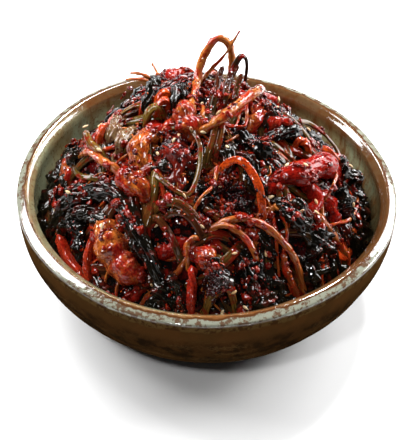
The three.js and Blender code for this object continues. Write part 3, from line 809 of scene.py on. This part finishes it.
def crown_finish():
    """Fibrous flesh under sauce. The thicker the sauce lies, the less it shines."""
    crown = PieceFinish("sauced_crown")
    streaks = crown.fibres((420, 420, 110))
    flesh = crown.mix(crown.ramp(streaks, 0.35, 0.62), paint(138, 46, 14), paint(210, 118, 46))
    cover = crown.maths("MULTIPLY_ADD", crown.tone, 0.34, crown.noise(95, 4, 0.6))
    colour = crown.mix(crown.ramp(cover, 0.44, 0.66), flesh, paint(146, 22, 13))
    thick = crown.patches(210, 4, 0.65, 0.50, 0.64)
    colour = crown.over(thick, 0.7, colour, DEEP_SAUCE)
    fibres = crown.fibres((1100, 1100, 90))
    bare = crown.maths("MULTIPLY_ADD", crown.tone, -0.35, 0.42)
    colour = crown.over(crown.ramp(fibres, 0.5, 0.64), bare, colour, paint(206, 100, 60))
    grains = crown.patches(900, 2, 0.6, 0.48, 0.60)
    colour = crown.over(grains, 0.55, colour, DEEP_SAUCE)
    relief = crown.bump(streaks, 0.0006)
    relief = crown.bump(fibres, 0.0004, relief)
    return crown.wet(colour, relief, crown.facets((1000, 1000, 320), 0.5, crown.grain),
                     crown.maths("MULTIPLY_ADD", crown.tone, -0.6, 1.0))


crown_bar = round_bar(*CROWN_BAR)
crowns = Joined("crowns")
for index, (widths, path, tone, lumps) in enumerate(CROWNS):
    crowns.drape(crown_bar, path, widths, lumpy(widths, 3.1 * index, lumps), tone, index)
small_crown_bar = round_bar(*SMALL_CROWN_BAR)
for index in range(STREWN_CROWNS["count"]):
    width = dice.uniform(*STREWN_CROWNS["width"])
    widths = (width * 0.7, width, width * 0.6)
    path = strewn_path(dice, STREWN_CROWNS["half"], dice.uniform(*STREWN_CROWNS["lift"]))
    tone = dice.uniform(0.3, 1)
    crowns.drape(small_crown_bar, path, widths, lumpy(widths, index), tone, STREWN_FROM + index)
crowns.build(crown_finish())


# ------------------------------------------------------------------ the leaf stems
# Leaf stalks, olive brown and pressed flat, with a groove along the middle. Some
# still stand up at the peak of the heap, dark red with paste.
STEM_BAR = (18, 40)
STEM_SLIM = 0.85            # of the widths below, which the salt has shrunk
# Each row has the widths, the way it runs, and how dark it is with paste.
STEMS = [
    ((3.4, 3, 2.4), [(-1, 8, 3), (1, 20, 6), (2, 30, 6), (4, 34, 10)], 0.9),
    ((3.4, 3, 2.4), [(2, 10, 3), (6, 24, 7), (8, 33, 8), (12, 36, 17), (15, 36, 15),
                     (14, 33, 3)], 1.0),
    ((3.2, 3, 2.4), [(5, 12, 3), (6, 22, 6), (8, 30, 6), (11, 35, 12)], 0.9),
    ((3, 2.8, 2.4), [(9, 14, 3), (11, 24, 6), (13, 31, 9)], 0.8),
    ((3, 3.8, 3.8), [(-60, 12, 5), (-56, -3, 6), (-48, -12, 4)], 0.0),
    ((2.6, 2.4, 2.6), [(-27, -22, 3), (-28, -8, 5), (-14, -3, 4), (-5, -17, 5), (-9, -39, 3),
                       (-22, -33, 4), (-28, -20, 2)], 0.55),
    ((2.6, 3, 3), [(-66, 2, 1), (-60, -12, 2), (-48, -20, 1)], 0.5),
    ((4, 4.2, 3.6), [(-26, -42, 3), (-14, -44, 5), (-1, -51, 3)], 0.45),
    ((3.6, 3.6, 3.2), [(-22, -46, 2), (-11, -47, 4), (-1, -54, 2)], 0.8),
    ((3.8, 3.6, 3), [(-26, -43, 2), (-18, -52, 4), (-11, -60, 2)], 0.7),
    ((3.2, 3.6, 3), [(2, 4, 3), (1, -10, 5), (-3, -23, 3)], 0.4),
    ((3, 3, 2.6), [(4, 3, 3), (4, -10, 5), (1, -23, 3)], 0.5),
    ((3, 3.4, 3), [(-48, 15, 3), (-41, 20, 4), (-32, 20, 4)], 0.1),
    ((4, 4.6, 3.6), [(-32, 9, 3), (-28, 12, 5), (-23, 11, 4)], 0.0),
    ((3.4, 3.8, 3), [(28, 14, 3), (38, 11, 6), (50, 4, 4)], 0.5),
    ((4, 4.8, 3.6), [(-50, 42, 1), (-38, 58, 4), (-22, 72, 2)], 0.2),
    ((4, 4.6, 3.6), [(-8, 56, 1), (-14, 66, 4), (-8, 74, 2)], 0.5),
    ((4, 4.8, 3.6), [(54, 36, 1), (46, 54, 4), (34, 68, 2)], 0.3),
    ((3, 2.8, 2.6), [(40, 16, 6), (46, 22, 8), (54, 22, 9), (60, 18, 8), (62, 12, 5)], 0.55),
    ((2.6, 2.6, 2.4), [(23, -4, 3), (32, -9, 4), (41, -12, 3)], 0.5),
    ((3.4, 3.4, 3.2), [(-2, -76, 0), (5, -73, 6), (10, -72, 7), (15, -75, 0)], 0.05),
    ((3, 3, 2.8), [(0, -77, 1), (3, -72, 5), (10, -71, 6)], 0.1),
]
STREWN_STEMS = {"count": 80, "width": (2.4, 4.4), "half": (12, 24), "lift": (-0.5, 2)}


def grooved(widths, phase):
    """The section of a stalk: flat, with ribs along it and a groove on top."""
    def section(corners, run, length):
        t = run / length
        half = width_at(widths, t) / 2
        turn = np.arctan2(corners[:, 1], corners[:, 0])
        groove = 0.22 * np.exp(-((turn - 1.57) / 0.35) ** 2)
        rib = 1 + 0.09 * np.cos(6 * turn + phase + 0.05 * run) - groove
        to_tip = np.clip(np.minimum(run, length - run) / 1.2, 0.05, 1)
        flat = 0.72 + 0.08 * np.sin(11 * t + phase)
        across = corners[:, 0] * half * 1.15 * rib * to_tip
        return across, corners[:, 1] * half * flat * rib * to_tip
    return section


def stem_finish():
    """Olive stalks with dark streaks and pale lines of painted highlight along them, darker with
    paste.
    """
    stem = PieceFinish("olive_stem")
    streaks = stem.fibres((1500, 1500, 70), 4)
    patches = stem.patches(52, 3, 0.55, 0.4, 0.62)
    pale = stem.mix(patches, paint(122, 94, 36), paint(118, 66, 28))
    dark = stem.mix(patches, paint(44, 28, 14), paint(60, 18, 10))
    colour = stem.mix(stem.tone, pale, dark)
    colour = stem.over(stem.ramp(streaks, 0.48, 0.6), 0.75, colour, paint(32, 15, 7))
    # painted highlight: pale lines along the stalk
    colour = stem.over(stem.ramp(streaks, 0.40, 0.30), 0.4, colour, paint(150, 116, 56))
    sauce = stem.patches(150, 4, 0.62, 0.50, 0.62)
    colour = stem.over(sauce, 0.8, colour, SAUCE)
    relief = stem.bump(streaks, 0.0005)
    relief = stem.bump(stem.noise(700, 3, 0.6), 0.0004, relief)
    return stem.wet(colour, relief, stem.facets((800, 800, 150), 0.3, stem.grain), 0.6)


stem_bar = round_bar(*STEM_BAR)
stems = Joined("stems")
for index, (widths, path, tone) in enumerate(STEMS):
    widths = [STEM_SLIM * width for width in widths]
    stems.drape(stem_bar, path, widths, grooved(widths, 1.3 * index), tone, index)
for index in range(STREWN_STEMS["count"]):
    width = dice.uniform(*STREWN_STEMS["width"])
    widths = (width, width, width * 0.8)
    path = strewn_path(dice, STREWN_STEMS["half"], dice.uniform(*STREWN_STEMS["lift"]))
    tone = dice.uniform(0.3, 1)
    stems.drape(stem_bar, path, widths, grooved(widths, index), tone, STREWN_FROM + index)
stems.build(stem_finish())


# ------------------------------------------------------------------ the carrot sticks
# Carrot cut in long square sticks, limp from the brine: the brightest orange here.
# They lie among the roots, bent over what is under them, with rounded edges.
CARROT_STEPS = 30
CARROT_WIDTHS = (3.4, 3.6, 3.4)         # of the strewn ones
# Each row has the widths, the way it runs, and how far the sauce has soaked in.
CARROTS = [
    ((3.4, 3.6, 3.2), [(-49, 11, 2), (-46, 20, 4), (-43, 27, 3)], 0.5),
    ((3.4, 3.6, 3.2), [(-53, -1, 2), (-51, 5, 4), (-49, 10, 3)], 0.4),
    ((4.6, 5, 4.6), [(-70, -28, 2), (-63, -45, 3), (-53, -58, 2)], 0.9),
    ((3.4, 3.6, 3.4), [(-50, -41, 2), (-54, -51, 3), (-52, -59, 1)], 0.8),
    ((3.2, 3.7, 3.5), [(2, -23, 4), (13, -25, 9), (21, -33, 8), (25, -42, 3)], 0.15),
    ((3.4, 3.6, 3.2), [(53, 9, 6), (56, 6, 8), (62, 8, 6)], 0.0),
    ((3.2, 3.4, 3.2), [(38, -1, 4), (42, 0, 5), (46, 1, 4)], 0.1),
    ((3.2, 3.4, 3.2), [(-27, 16, 3), (-24, 19, 5), (-20, 20, 4)], 0.1),
    ((3, 3.2, 3), [(-27, 12, 3), (-24, 14, 5), (-20, 15, 4)], 0.3),
    ((3, 3.2, 3), [(-34, 17, 3), (-31, 20, 4), (-28, 22, 3)], 0.8),
    ((3.8, 4, 3.8), [(-6, -62, 4), (-6, -70, 5), (-6, -77, 3)], 1.0),
]
STREWN_CARROTS = {"count": 9, "half": (7, 14), "lift": (0, 1.5)}


def square_bar(steps):
    """A bar with sides of 1 and rounded edges along Z from 0 to 1, cut into steps."""
    bm = bmesh.new()
    bmesh.ops.create_cube(bm, size=1, matrix=Matrix.Translation((0, 0, 0.5)))
    bmesh.ops.bevel(bm, geom=long_edges(bm), offset=0.2, offset_type="OFFSET", affect="EDGES",
                    segments=3, profile=0.5, material=-1)
    bmesh.ops.subdivide_edges(bm, edges=long_edges(bm), cuts=steps - 1)
    return pattern_of(bm)


def stick(widths, phase):
    """The section of a stick: square, a little uneven, with blunt ends."""
    def section(corners, run, length):
        half = width_at(widths, run / length) * (1 + 0.05 * np.sin(run * 0.9 + phase))
        half *= np.clip(np.minimum(run, length - run) / 0.8, 0.75, 1)
        return corners[:, 0] * half, corners[:, 1] * half * 0.85
    return section


def carrot_finish():
    """Carrot with its fibres, in patches of sauce and fine red grains."""
    carrot = PieceFinish("brined_carrot")
    fibres = carrot.fibres((1300, 1300, 110))
    fresh = carrot.mix(carrot.ramp(fibres, 0.35, 0.65), paint(196, 60, 14), paint(220, 90, 28))
    soaked = carrot.mix(carrot.ramp(fibres, 0.35, 0.65), paint(146, 24, 14), paint(180, 48, 26))
    colour = carrot.mix(carrot.tone, fresh, soaked)
    sauce = carrot.patches(210, 4, 0.62, 0.55, 0.68)
    colour = carrot.over(sauce, 0.8, colour, SAUCE)
    grains = carrot.patches(1100, 2, 0.6, 0.5, 0.62)
    colour = carrot.over(grains, 0.5, colour, paint(112, 16, 8))
    relief = carrot.bump(fibres, 0.0003)
    relief = carrot.bump(grains, 0.0003, relief)
    return carrot.wet(colour, relief, carrot.facets((900, 900, 500), 0.5, carrot.grain))


carrot_bar = square_bar(CARROT_STEPS)
carrots = Joined("carrot_sticks")
for index, (widths, path, tone) in enumerate(CARROTS):
    carrots.drape(carrot_bar, path, widths, stick(widths, index), tone, index)
for index in range(STREWN_CARROTS["count"]):
    path = strewn_path(dice, STREWN_CARROTS["half"], dice.uniform(*STREWN_CARROTS["lift"]))
    tone = dice.uniform(0.3, 1)
    carrots.drape(carrot_bar, path, CARROT_WIDTHS, stick(CARROT_WIDTHS, index), tone,
                  STREWN_FROM + index)
carrots.build(carrot_finish())


# ------------------------------------------------------------------ the leaves
# Wilted leaves, nearly black, gathered into pleats and crinkled like seaweed by
# the salt. The longest one arches from the left wall to the front. Smaller ones
# and torn shreds are strewn between, clear of the crowns and of LEAF_GAPS.
LEAF_SHEET = (14, 56)       # squares across and along
SMALL_LEAF_SHEET = (12, 34)
SHRED_SHEET = (6, 34)
SHRED_BOW = 0.6
LEAF_THICK = 0.5
LEAVES = [                  # the widths and the way it runs
    ((5, 6, 4), [(-31, 16, 2), (-30, 22, 6), (-27, 31, 7), (-23, 36, 5)]),
    ((4, 5, 3), [(-19, 10, 2), (-17, 24, 3), (-14, 34, 0)]),
    ((4, 5, 3), [(-14, 14, 3), (-13, 28, 2), (-11, 37, -1)]),
    ((6, 9, 6), [(-77, -32, 1), (-66, -24, 5), (-45, -30, 6), (-31, -52, 5), (-20, -68, 4),
                 (-12, -76, 2)]),
    ((6, 8, 6), [(-74, -38, 1), (-63, -31, 4), (-43, -40, 4)]),
    ((6, 8, 6), [(-64, -26, 2), (-60, -38, 4), (-57, -48, 2)]),
    ((6, 7, 5), [(-40, -37, 2), (-34, -50, 4), (-26, -61, 2)]),
    ((5, 7, 5), [(-62, 8, 0), (-66, -2, 0), (-68, -14, 0)]),
    ((6, 9, 6), [(11, -5, 2), (22, -13, 4), (32, -19, 2)]),
    ((6, 8, 6), [(5, -11, 2), (8, -20, 4), (6, -30, 2)]),
    ((6, 9, 6), [(11, -15, 2), (19, -24, 4), (24, -33, 2)]),
    ((5, 7, 5), [(24, 6, 2), (29, 9, 4), (41, 11, 2)]),
    ((5, 7, 5), [(23, -6, 2), (33, 1, 4), (48, 10, 3)]),
    ((5, 7, 4), [(23, 16, 1), (27, 10, 3), (33, 2, 3)]),
    ((6, 9, 6), [(58, 8, 5), (66, 6, 9), (70, 0, 8)]),
    ((6, 8, 6), [(60, -1, 7), (67, 2, 10), (71, -4, 7)]),
    ((6, 8, 6), [(55, -15, 3), (63, -16, 6), (67, -19, 4)]),
    ((6, 10, 6), [(28, -33, 2), (42, -42, 4), (60, -39, 2)]),
    ((5, 8, 5), [(35, -31, 2), (48, -38, 4), (63, -32, 2)]),
    ((6, 8, 5), [(0, -62, 5), (6, -68, 6), (12, -72, 3)]),
    ((6, 8, 5), [(-25, -65, 2), (-19, -71, 4), (-12, -76, 1)]),
    ((5, 7, 5), [(-17, -63, 2), (-13, -70, 4), (-9, -76, 1)]),
    ((7, 11, 7), [(16, -74, 2), (25, -71, 4), (34, -65, 2)]),
    ((7, 11, 7), [(-58, 36, 1), (-46, 54, 3), (-30, 70, 1)]),
    ((7, 10, 6), [(4, 50, 1), (14, 62, 3), (14, 72, 1)]),
    ((6, 10, 6), [(60, 30, 1), (54, 46, 3), (42, 60, 1)]),
]
STREWN_LEAVES = {"count": 56, "width": (6, 12), "half": (7, 16), "lift": (-0.5, 2.0)}
SHREDS = {"count": 90, "width": (2.5, 5), "half": (5, 13), "lift": (0, 3)}
LEAF_GAPS = [(-52, 14, 15), (38, 16, 15), (-24, 34, 15), (0, 36, 16), (-30, -2, 9)]  # x, y, reach
PIECE_CLEAR = 2             # from the middle line of a listed piece, and of a crown
CROWN_CLEAR = 8


def leaf_sheet(across, steps):
    """A flat sheet, 1 wide along X and 1 long along Z, with its two faces and its rim."""
    bm = bmesh.new()
    bmesh.ops.create_grid(bm, x_segments=across, y_segments=steps, size=0.5)
    bmesh.ops.rotate(bm, verts=bm.verts[:], cent=(0, 0, 0),
                     matrix=Matrix.Rotation(math.pi / 2, 3, "X"))
    bmesh.ops.translate(bm, verts=bm.verts[:], vec=(0, 0, 0.5))
    bmesh.ops.solidify(bm, geom=bm.faces[:], thickness=1)
    bmesh.ops.recalc_face_normals(bm, faces=bm.faces[:])
    return pattern_of(bm)


def crinkled(widths, phase, pleats=3.0, rough=1.0):
    """The section of a wilted leaf: wavy, pleated along, crinkled all over."""
    def section(corners, run, length):
        x, t = corners[:, 0], run / length
        wide = width_at(widths, t) * (1 + 0.12 * np.sin(9 * t + 2 * phase))
        wide = wide * np.clip(np.minimum(t, 1 - t) * 9, 0.25, 1)
        wave = 0.16 * wide * np.sin(14 * t + phase + 2.4 * x)
        droop = -1.4 * wide * x * x
        gather = 0.07 * wide * np.sin(2 * np.pi * pleats * x + 2.2 * np.sin(11 * t + phase))
        crease = np.array([0.2 * ridged((a, r * 0.4, phase), 1.6)
                           + 1.6 * ridged((a * 0.8, r * 0.6, phase + 9), 3.2)
                           + 2.2 * noise.noise(Vector((a * 0.6, r, phase)) / 5.5)
                           for a, r in zip(x * wide, run)]) * rough
        ragged = 1 + 0.22 * np.abs(x) * np.sin(run * 1.7 + phase) * (np.abs(x) > 0.3)
        thick = (corners[:, 1] - corners[:, 1].min()) * LEAF_THICK
        return x * wide * ragged, wave + droop + gather + crease + thick + 0.6
    return section


def leaf_finish(name, light, mid, deep):
    """A leaf, with painted shade darkest in its creases (on the pale stalks the same dark lines are
    their stripes), and thin red sauce in patches over it.
    """
    leaf = PieceFinish(name)
    creases = leaf.fibres((700, 700, 160), 4, 1.2)
    # painted shade: the deep colour lies in the creases of the relief below
    colour = leaf.mix(leaf.ramp(creases, 0.35, 0.62), deep, mid)
    colour = leaf.over(leaf.patches(90, 3, 0.55, 0.5, 0.7), 0.5, colour, light)
    colour = leaf.over(leaf.tone, 0.35, colour, light)
    sauce = leaf.patches(150, 4, 0.65, 0.52, 0.66)
    colour = leaf.over(sauce, 0.75, colour, paint(84, 20, 12))
    pebbles = leaf.ramp(leaf.cells(620), 0.0, 0.55)
    relief = leaf.bump(pebbles, 0.00012)
    relief = leaf.bump(creases, 0.0003, relief)
    return leaf.wet(colour, relief, leaf.facets((640, 640, 240), 0.4, leaf.grain), 0.8)


def plan_points(rows, count):
    """Points along the ways that pieces run, seen from above."""
    return np.array([route_point(np.array(row[1], float), t)[:2]
                     for row in rows for t in np.linspace(0, 1, count)])


shown = plan_points(ROOTS + CROWNS + STEMS + CARROTS, 12)
fat = plan_points(CROWNS, 12)


def leaf_path(dice, half, lift, bow=0.35):
    """A strewn path that leaves the roots, stems and above all the crowns in sight."""
    while True:
        path = strewn_path(dice, half, lift, bow)
        spots = plan_points([(None, path)], 7)
        near = np.linalg.norm(spots[:, None] - shown[None], axis=2).min()
        near_fat = np.linalg.norm(spots[:, None] - fat[None], axis=2).min()
        in_gap = any(math.hypot(*(spots[3] - (x, y))) < reach for x, y, reach in LEAF_GAPS)
        if near > PIECE_CLEAR and near_fat > CROWN_CLEAR and not in_gap:
            return path


leaf_dress = leaf_finish("wilted_leaf", paint(34, 26, 13), paint(12, 10, 7), paint(4, 4, 3))
leaf_pattern = leaf_sheet(*LEAF_SHEET)
leaves = Joined("leaves")
for index, (widths, path) in enumerate(LEAVES):
    section = crinkled(widths, 1.7 * index)
    leaves.drape(leaf_pattern, path, widths, section, dice.uniform(0, 1), index)
leaves.build(leaf_dress)

small_leaf_pattern = leaf_sheet(*SMALL_LEAF_SHEET)
strewn_leaves = Joined("strewn_leaves")
for index in range(STREWN_LEAVES["count"]):
    width = dice.uniform(*STREWN_LEAVES["width"])
    widths = (width * 0.7, width, width * 0.7)
    path = leaf_path(dice, STREWN_LEAVES["half"], dice.uniform(*STREWN_LEAVES["lift"]))
    section = crinkled(widths, index, 3.0, 1.1)
    strewn_leaves.drape(small_leaf_pattern, path, widths, section, dice.uniform(0, 1), index)
strewn_leaves.build(leaf_dress)

shred_pattern = leaf_sheet(*SHRED_SHEET)
shreds = Joined("leaf_shreds")
for index in range(SHREDS["count"]):
    width = dice.uniform(*SHREDS["width"])
    widths = (width * 0.6, width, width * 0.5)
    path = leaf_path(dice, SHREDS["half"], dice.uniform(*SHREDS["lift"]), SHRED_BOW)
    section = crinkled(widths, index, 1.5, 0.8)
    shreds.drape(shred_pattern, path, widths, section, dice.uniform(0, 1), index)
shreds.build(leaf_dress)


# ------------------------------------------------------------------ the pale stalks
# Broad pale stalks at the upper left, striped along, and the large purple leaf in
# the middle, which cups the paste under it. Both are stained by the sauce.
PALE_STALKS = [
    ((6, 8, 6), [(-47, -1, 2), (-45, 9, 4), (-42, 19, 2)]),
    ((5, 6, 4), [(-44, -12, 2), (-40, -3, 3), (-36, 6, 3)]),
]
CUPPED_LEAF = ((9, 17, 8), [(-19, -3, 2), (-17, -19, 4), (-14, -36, 1)])

stalk_dress = leaf_finish("pale_stalk", paint(150, 136, 98), paint(112, 78, 46), paint(92, 22, 12))
stalks = Joined("pale_stalks")
for index, (widths, path) in enumerate(PALE_STALKS):
    stalks.drape(leaf_pattern, path, widths, crinkled(widths, 2.1 * index, 4.0, 0.6), 0.6, index)
stalks.build(stalk_dress)

cupped_dress = leaf_finish("purple_leaf", paint(150, 40, 26), paint(104, 24, 16), paint(44, 10, 8))
cupped = Joined("cupped_leaf")
widths, path = CUPPED_LEAF
cupped.drape(leaf_pattern, path, widths, crinkled(widths, 0.7, 2.0, 0.9), 0.4, 0)
cupped.build(cupped_dress)


# ------------------------------------------------------------------ the rootlets
# Hair roots, as thick as a matchstick at most, that curl off the roots and stick
# out at the back and over the peak.
ROOTLET_BAR = (7, 36)
ROOTLET_BOW = 0.8
ROOTLET_LUMPS = 0.25
ROOTLETS = [                # the widths and the way it runs
    ((2, 1.6, 1.0), [(-7, 34, 1), (-1, 38, 6), (5, 40, 15), (11, 42, 31)]),
    ((2, 1.6, 0.9), [(-29, 28, 7), (-36, 28, 14), (-42, 31, 18)]),
    ((2, 1.6, 0.9), [(-29, 30, 7), (-34, 30, 14), (-40, 33, 19)]),
    ((2, 1.6, 0.9), [(-26, 32, 6), (-28, 35, 11), (-30, 38, 15)]),
    ((1.8, 1.6, 1.4), [(-50, -41, 6), (-48, -53, 8), (-37, -64, 5)]),
    ((1.8, 1.7, 1.6), [(3, -24, 5), (1, -35, 6), (-8, -45, 4)]),
    ((1.8, 1.6, 1.4), [(45, -16, 4), (52, -10, 8), (58, -11, 9), (55, -21, 7), (51, -23, 3)]),
    ((2, 1.8, 1.5), [(52, -33, 2), (63, -25, 4), (68, -16, 6), (70, -4, 8)]),
]
STREWN_ROOTLETS = {"count": 80, "width": (0.8, 1.6), "half": (6, 16), "lift": (1, 3)}

rootlet_bar = round_bar(*ROOTLET_BAR)
rootlets = Joined("rootlets")
for index, (widths, path) in enumerate(ROOTLETS):
    rootlets.drape(rootlet_bar, path, widths, knobbly(widths, index, ROOTLET_LUMPS), 0.2, index)
for index in range(STREWN_ROOTLETS["count"]):
    width = dice.uniform(*STREWN_ROOTLETS["width"])
    widths = (width, width, width * 0.5)
    lift = dice.uniform(*STREWN_ROOTLETS["lift"])
    path = strewn_path(dice, STREWN_ROOTLETS["half"], lift, ROOTLET_BOW)
    tone = dice.uniform(0, 1)
    rootlets.drape(rootlet_bar, path, widths, knobbly(widths, index, ROOTLET_LUMPS), tone,
                   STREWN_FROM + index)
rootlets.build(root_dress)


# ------------------------------------------------------------------ the chilli paste
# Coarse chilli flakes and clots of red paste stick to everything, least to the
# carrots, and nearly black grains of it lie in three spots. Each one is laid on
# the piece under it, so that it follows the heap however it is piled.
PASTE_CLOTS = 760
FLAKES = 1600
GRAINS = 360
GRAIN_SPOTS = [(4, -68, 2.6, 1.8), (-18, -14, 4.0, 4.5), (13, -31, 4, 3)]  # x, y, spreads
CAST_FROM = 30              # over the heap, along its normal
GAP_DEPTH = 4
CARROT_CLEAR = 3
CARROT_SPARED = 0.75
WALL_CLEAR = 1.5
OVER_WALL = 62

heap_pieces = [made for made in scene.objects if made.type == "MESH" and made not in (floor, bowl)]
places, faces, count = [], [], 0
for made in heap_pieces:
    places += [vert.co[:] for vert in made.data.vertices]
    faces += [[corner + count for corner in face.vertices] for face in made.data.polygons]
    count += len(made.data.vertices)
heap_tree = BVHTree.FromPolygons(places, faces)
clean = plan_points(CARROTS, 16)


def landing(dice, reach=1.0, clumps=0.0, spots=None):
    """A place on the pieces of the heap and the way it faces, met square to the heap."""
    while True:
        angle, out = dice.uniform(0, 2 * math.pi), math.sqrt(dice.uniform(0, 1)) * reach
        x = HEAP_MIDDLE[0] + HEAP_RADIUS * out * math.cos(angle)
        y = HEAP_MIDDLE[1] + HEAP_RADIUS * out * math.sin(angle)
        if spots:
            x, y, wide, deep = dice.choice(spots)
            x, y = x + dice.gauss(0, wide), y + dice.gauss(0, deep)
        normal = Vector(heap_normal(x, y))
        start = Vector((x, y, float(heap_height(x, y)))) + normal * CAST_FROM
        place, facing, _, _ = heap_tree.ray_cast(start * MM, -normal)
        if place is None:
            continue
        place = place / MM
        if (place - start).length > CAST_FROM + GAP_DEPTH:
            continue
        to_carrot = np.hypot(clean[:, 0] - place.x, clean[:, 1] - place.y).min()
        if to_carrot < CARROT_CLEAR and dice.uniform(0, 1) < CARROT_SPARED:
            continue
        if clumps and noise.noise(place / 13 + Vector((clumps, 0, 0))) < dice.gauss(0.18, 0.1):
            continue
        wall = inner_radius(place.z, math.atan2(place.y, place.x))
        if math.hypot(place.x, place.y) < wall - WALL_CLEAR or place.z > OVER_WALL:
            return place, facing


def scatter(name, pattern, count, dice, sizes, sink, finish, reach=1.0, clumps=0.0, spots=None):
    """Many small things of one kind, each turned its own way on the heap."""
    corners, faces = pattern
    made = Joined(name)
    for _ in range(count):
        place, facing = landing(dice, reach, clumps, spots)
        size = dice.uniform(*sizes)
        turn = facing.to_track_quat("Z", "Y").to_matrix()
        turn = turn @ Matrix.Rotation(dice.uniform(0, 2 * math.pi), 3, "Z")
        turn = turn @ Matrix.Rotation(dice.gauss(0, 0.25), 3, "X")
        shape = corners * (size, size * dice.uniform(0.55, 1.0), size * dice.uniform(0.6, 1.2))
        spot = shape @ np.array(turn).T + np.array(place + facing * sink * size)
        made.add(spot, faces, dice.uniform(0, 1), shape + dice.uniform(0, 50))
    made.build(finish)


def paste_drop(seed):
    """A lump of paste, flattened where it sticks."""
    bm = bmesh.new()
    bmesh.ops.create_uvsphere(bm, u_segments=8, v_segments=5, radius=1)
    for vert in bm.verts:
        swell = 1 + 0.9 * noise.noise(vert.co * 1.5 + Vector((seed, 0, 0)))
        vert.co = Vector((vert.co.x * swell, vert.co.y * swell, vert.co.z * swell * 0.42))
    return pattern_of(bm)


def flake_chip():
    """A broken chip of dried chilli skin."""
    bm = bmesh.new()
    bmesh.ops.create_cone(bm, cap_ends=True, segments=6, radius1=1, radius2=0.7, depth=0.3)
    for vert in bm.verts:
        vert.co.x *= 1 + 0.35 * math.sin(5 * vert.co.y + 1)
    return pattern_of(bm)


def clot_finish():
    clot = PieceFinish("chilli_paste")
    colour = clot.mix(clot.tone, paint(72, 8, 5), paint(138, 20, 10))
    colour = clot.mix(clot.patches(900, 3, 0.6, 0.52, 0.62), colour, paint(158, 48, 18))
    relief = clot.bump(clot.noise(1300, 3, 0.6), 0.0004)
    return clot.wet(colour, relief, clot.facets((1100,) * 3, 0.4))


def grain_finish():
    grain = PieceFinish("dark_paste")
    colour = grain.mix(grain.tone, NEAR_BLACK, paint(62, 10, 12))
    relief = grain.bump(grain.noise(1300, 3, 0.6), 0.0003)
    return grain.wet(colour, relief, grain.facets((1100,) * 3, 0.4))


def flake_finish():
    flake = PieceFinish("chilli_flake")
    colour = flake.mix(flake.tone, paint(86, 10, 6), paint(168, 30, 14))
    colour = flake.mix(flake.ramp(flake.tone, 0.8, 0.95), colour, paint(206, 92, 34))
    relief = flake.bump(flake.noise(1500, 2, 0.6), 0.0002)
    return flake.wet(colour, relief, flake.facets((1500,) * 3, 0.3))


paste_dice = random.Random(7)
scatter("paste_clots", paste_drop(0), PASTE_CLOTS, paste_dice, (0.6, 2.1), 0.0, clot_finish(),
        clumps=3.0)
scatter("dark_grains", paste_drop(4), GRAINS, paste_dice, (0.6, 1.2), 0.1, grain_finish(),
        spots=GRAIN_SPOTS)
scatter("chilli_flakes", flake_chip(), FLAKES, paste_dice, (0.3, 0.8), 0.1, flake_finish(),
        clumps=5.0)


# ------------------------------------------------------------------ the sesame seeds
# Hulled sesame seeds, cream with a few spots of sauce and drawn out to a point at
# one end. They are dropped on top of everything, last of all.
SEED_SIZE = (3.3, 2.1, 1.4)
SEEDS = 46


def sesame_seed():
    """A seed lying along X, flat, with one end drawn out to a point."""
    bm = bmesh.new()
    bmesh.ops.create_uvsphere(bm, u_segments=12, v_segments=8, radius=0.5)
    bmesh.ops.rotate(bm, verts=bm.verts[:], cent=(0, 0, 0),
                     matrix=Matrix.Rotation(math.pi / 2, 3, "Y"))
    for vert in bm.verts:
        narrow = 1 - 0.9 * max(vert.co.x + 0.1, 0) ** 1.2
        vert.co = Vector((vert.co.x * SEED_SIZE[0], vert.co.y * SEED_SIZE[1] * narrow,
                          vert.co.z * SEED_SIZE[2] * narrow))
    return pattern_of(bm)


def seed_finish():
    seed = PieceFinish("sesame")
    colour = seed.mix(seed.tone, paint(214, 170, 118), paint(246, 218, 172))
    colour = seed.mix(seed.patches(700, 3, 0.6, 0.56, 0.68), colour, paint(184, 76, 34))
    relief = seed.bump(seed.noise(1400, 2, 0.6), 0.0001)
    return seed.finish(colour, 0.3, relief, IOR=1.4)


scatter("sesame_seeds", sesame_seed(), SEEDS, paste_dice, (0.85, 1.05), 0.35, seed_finish(),
        reach=0.95)
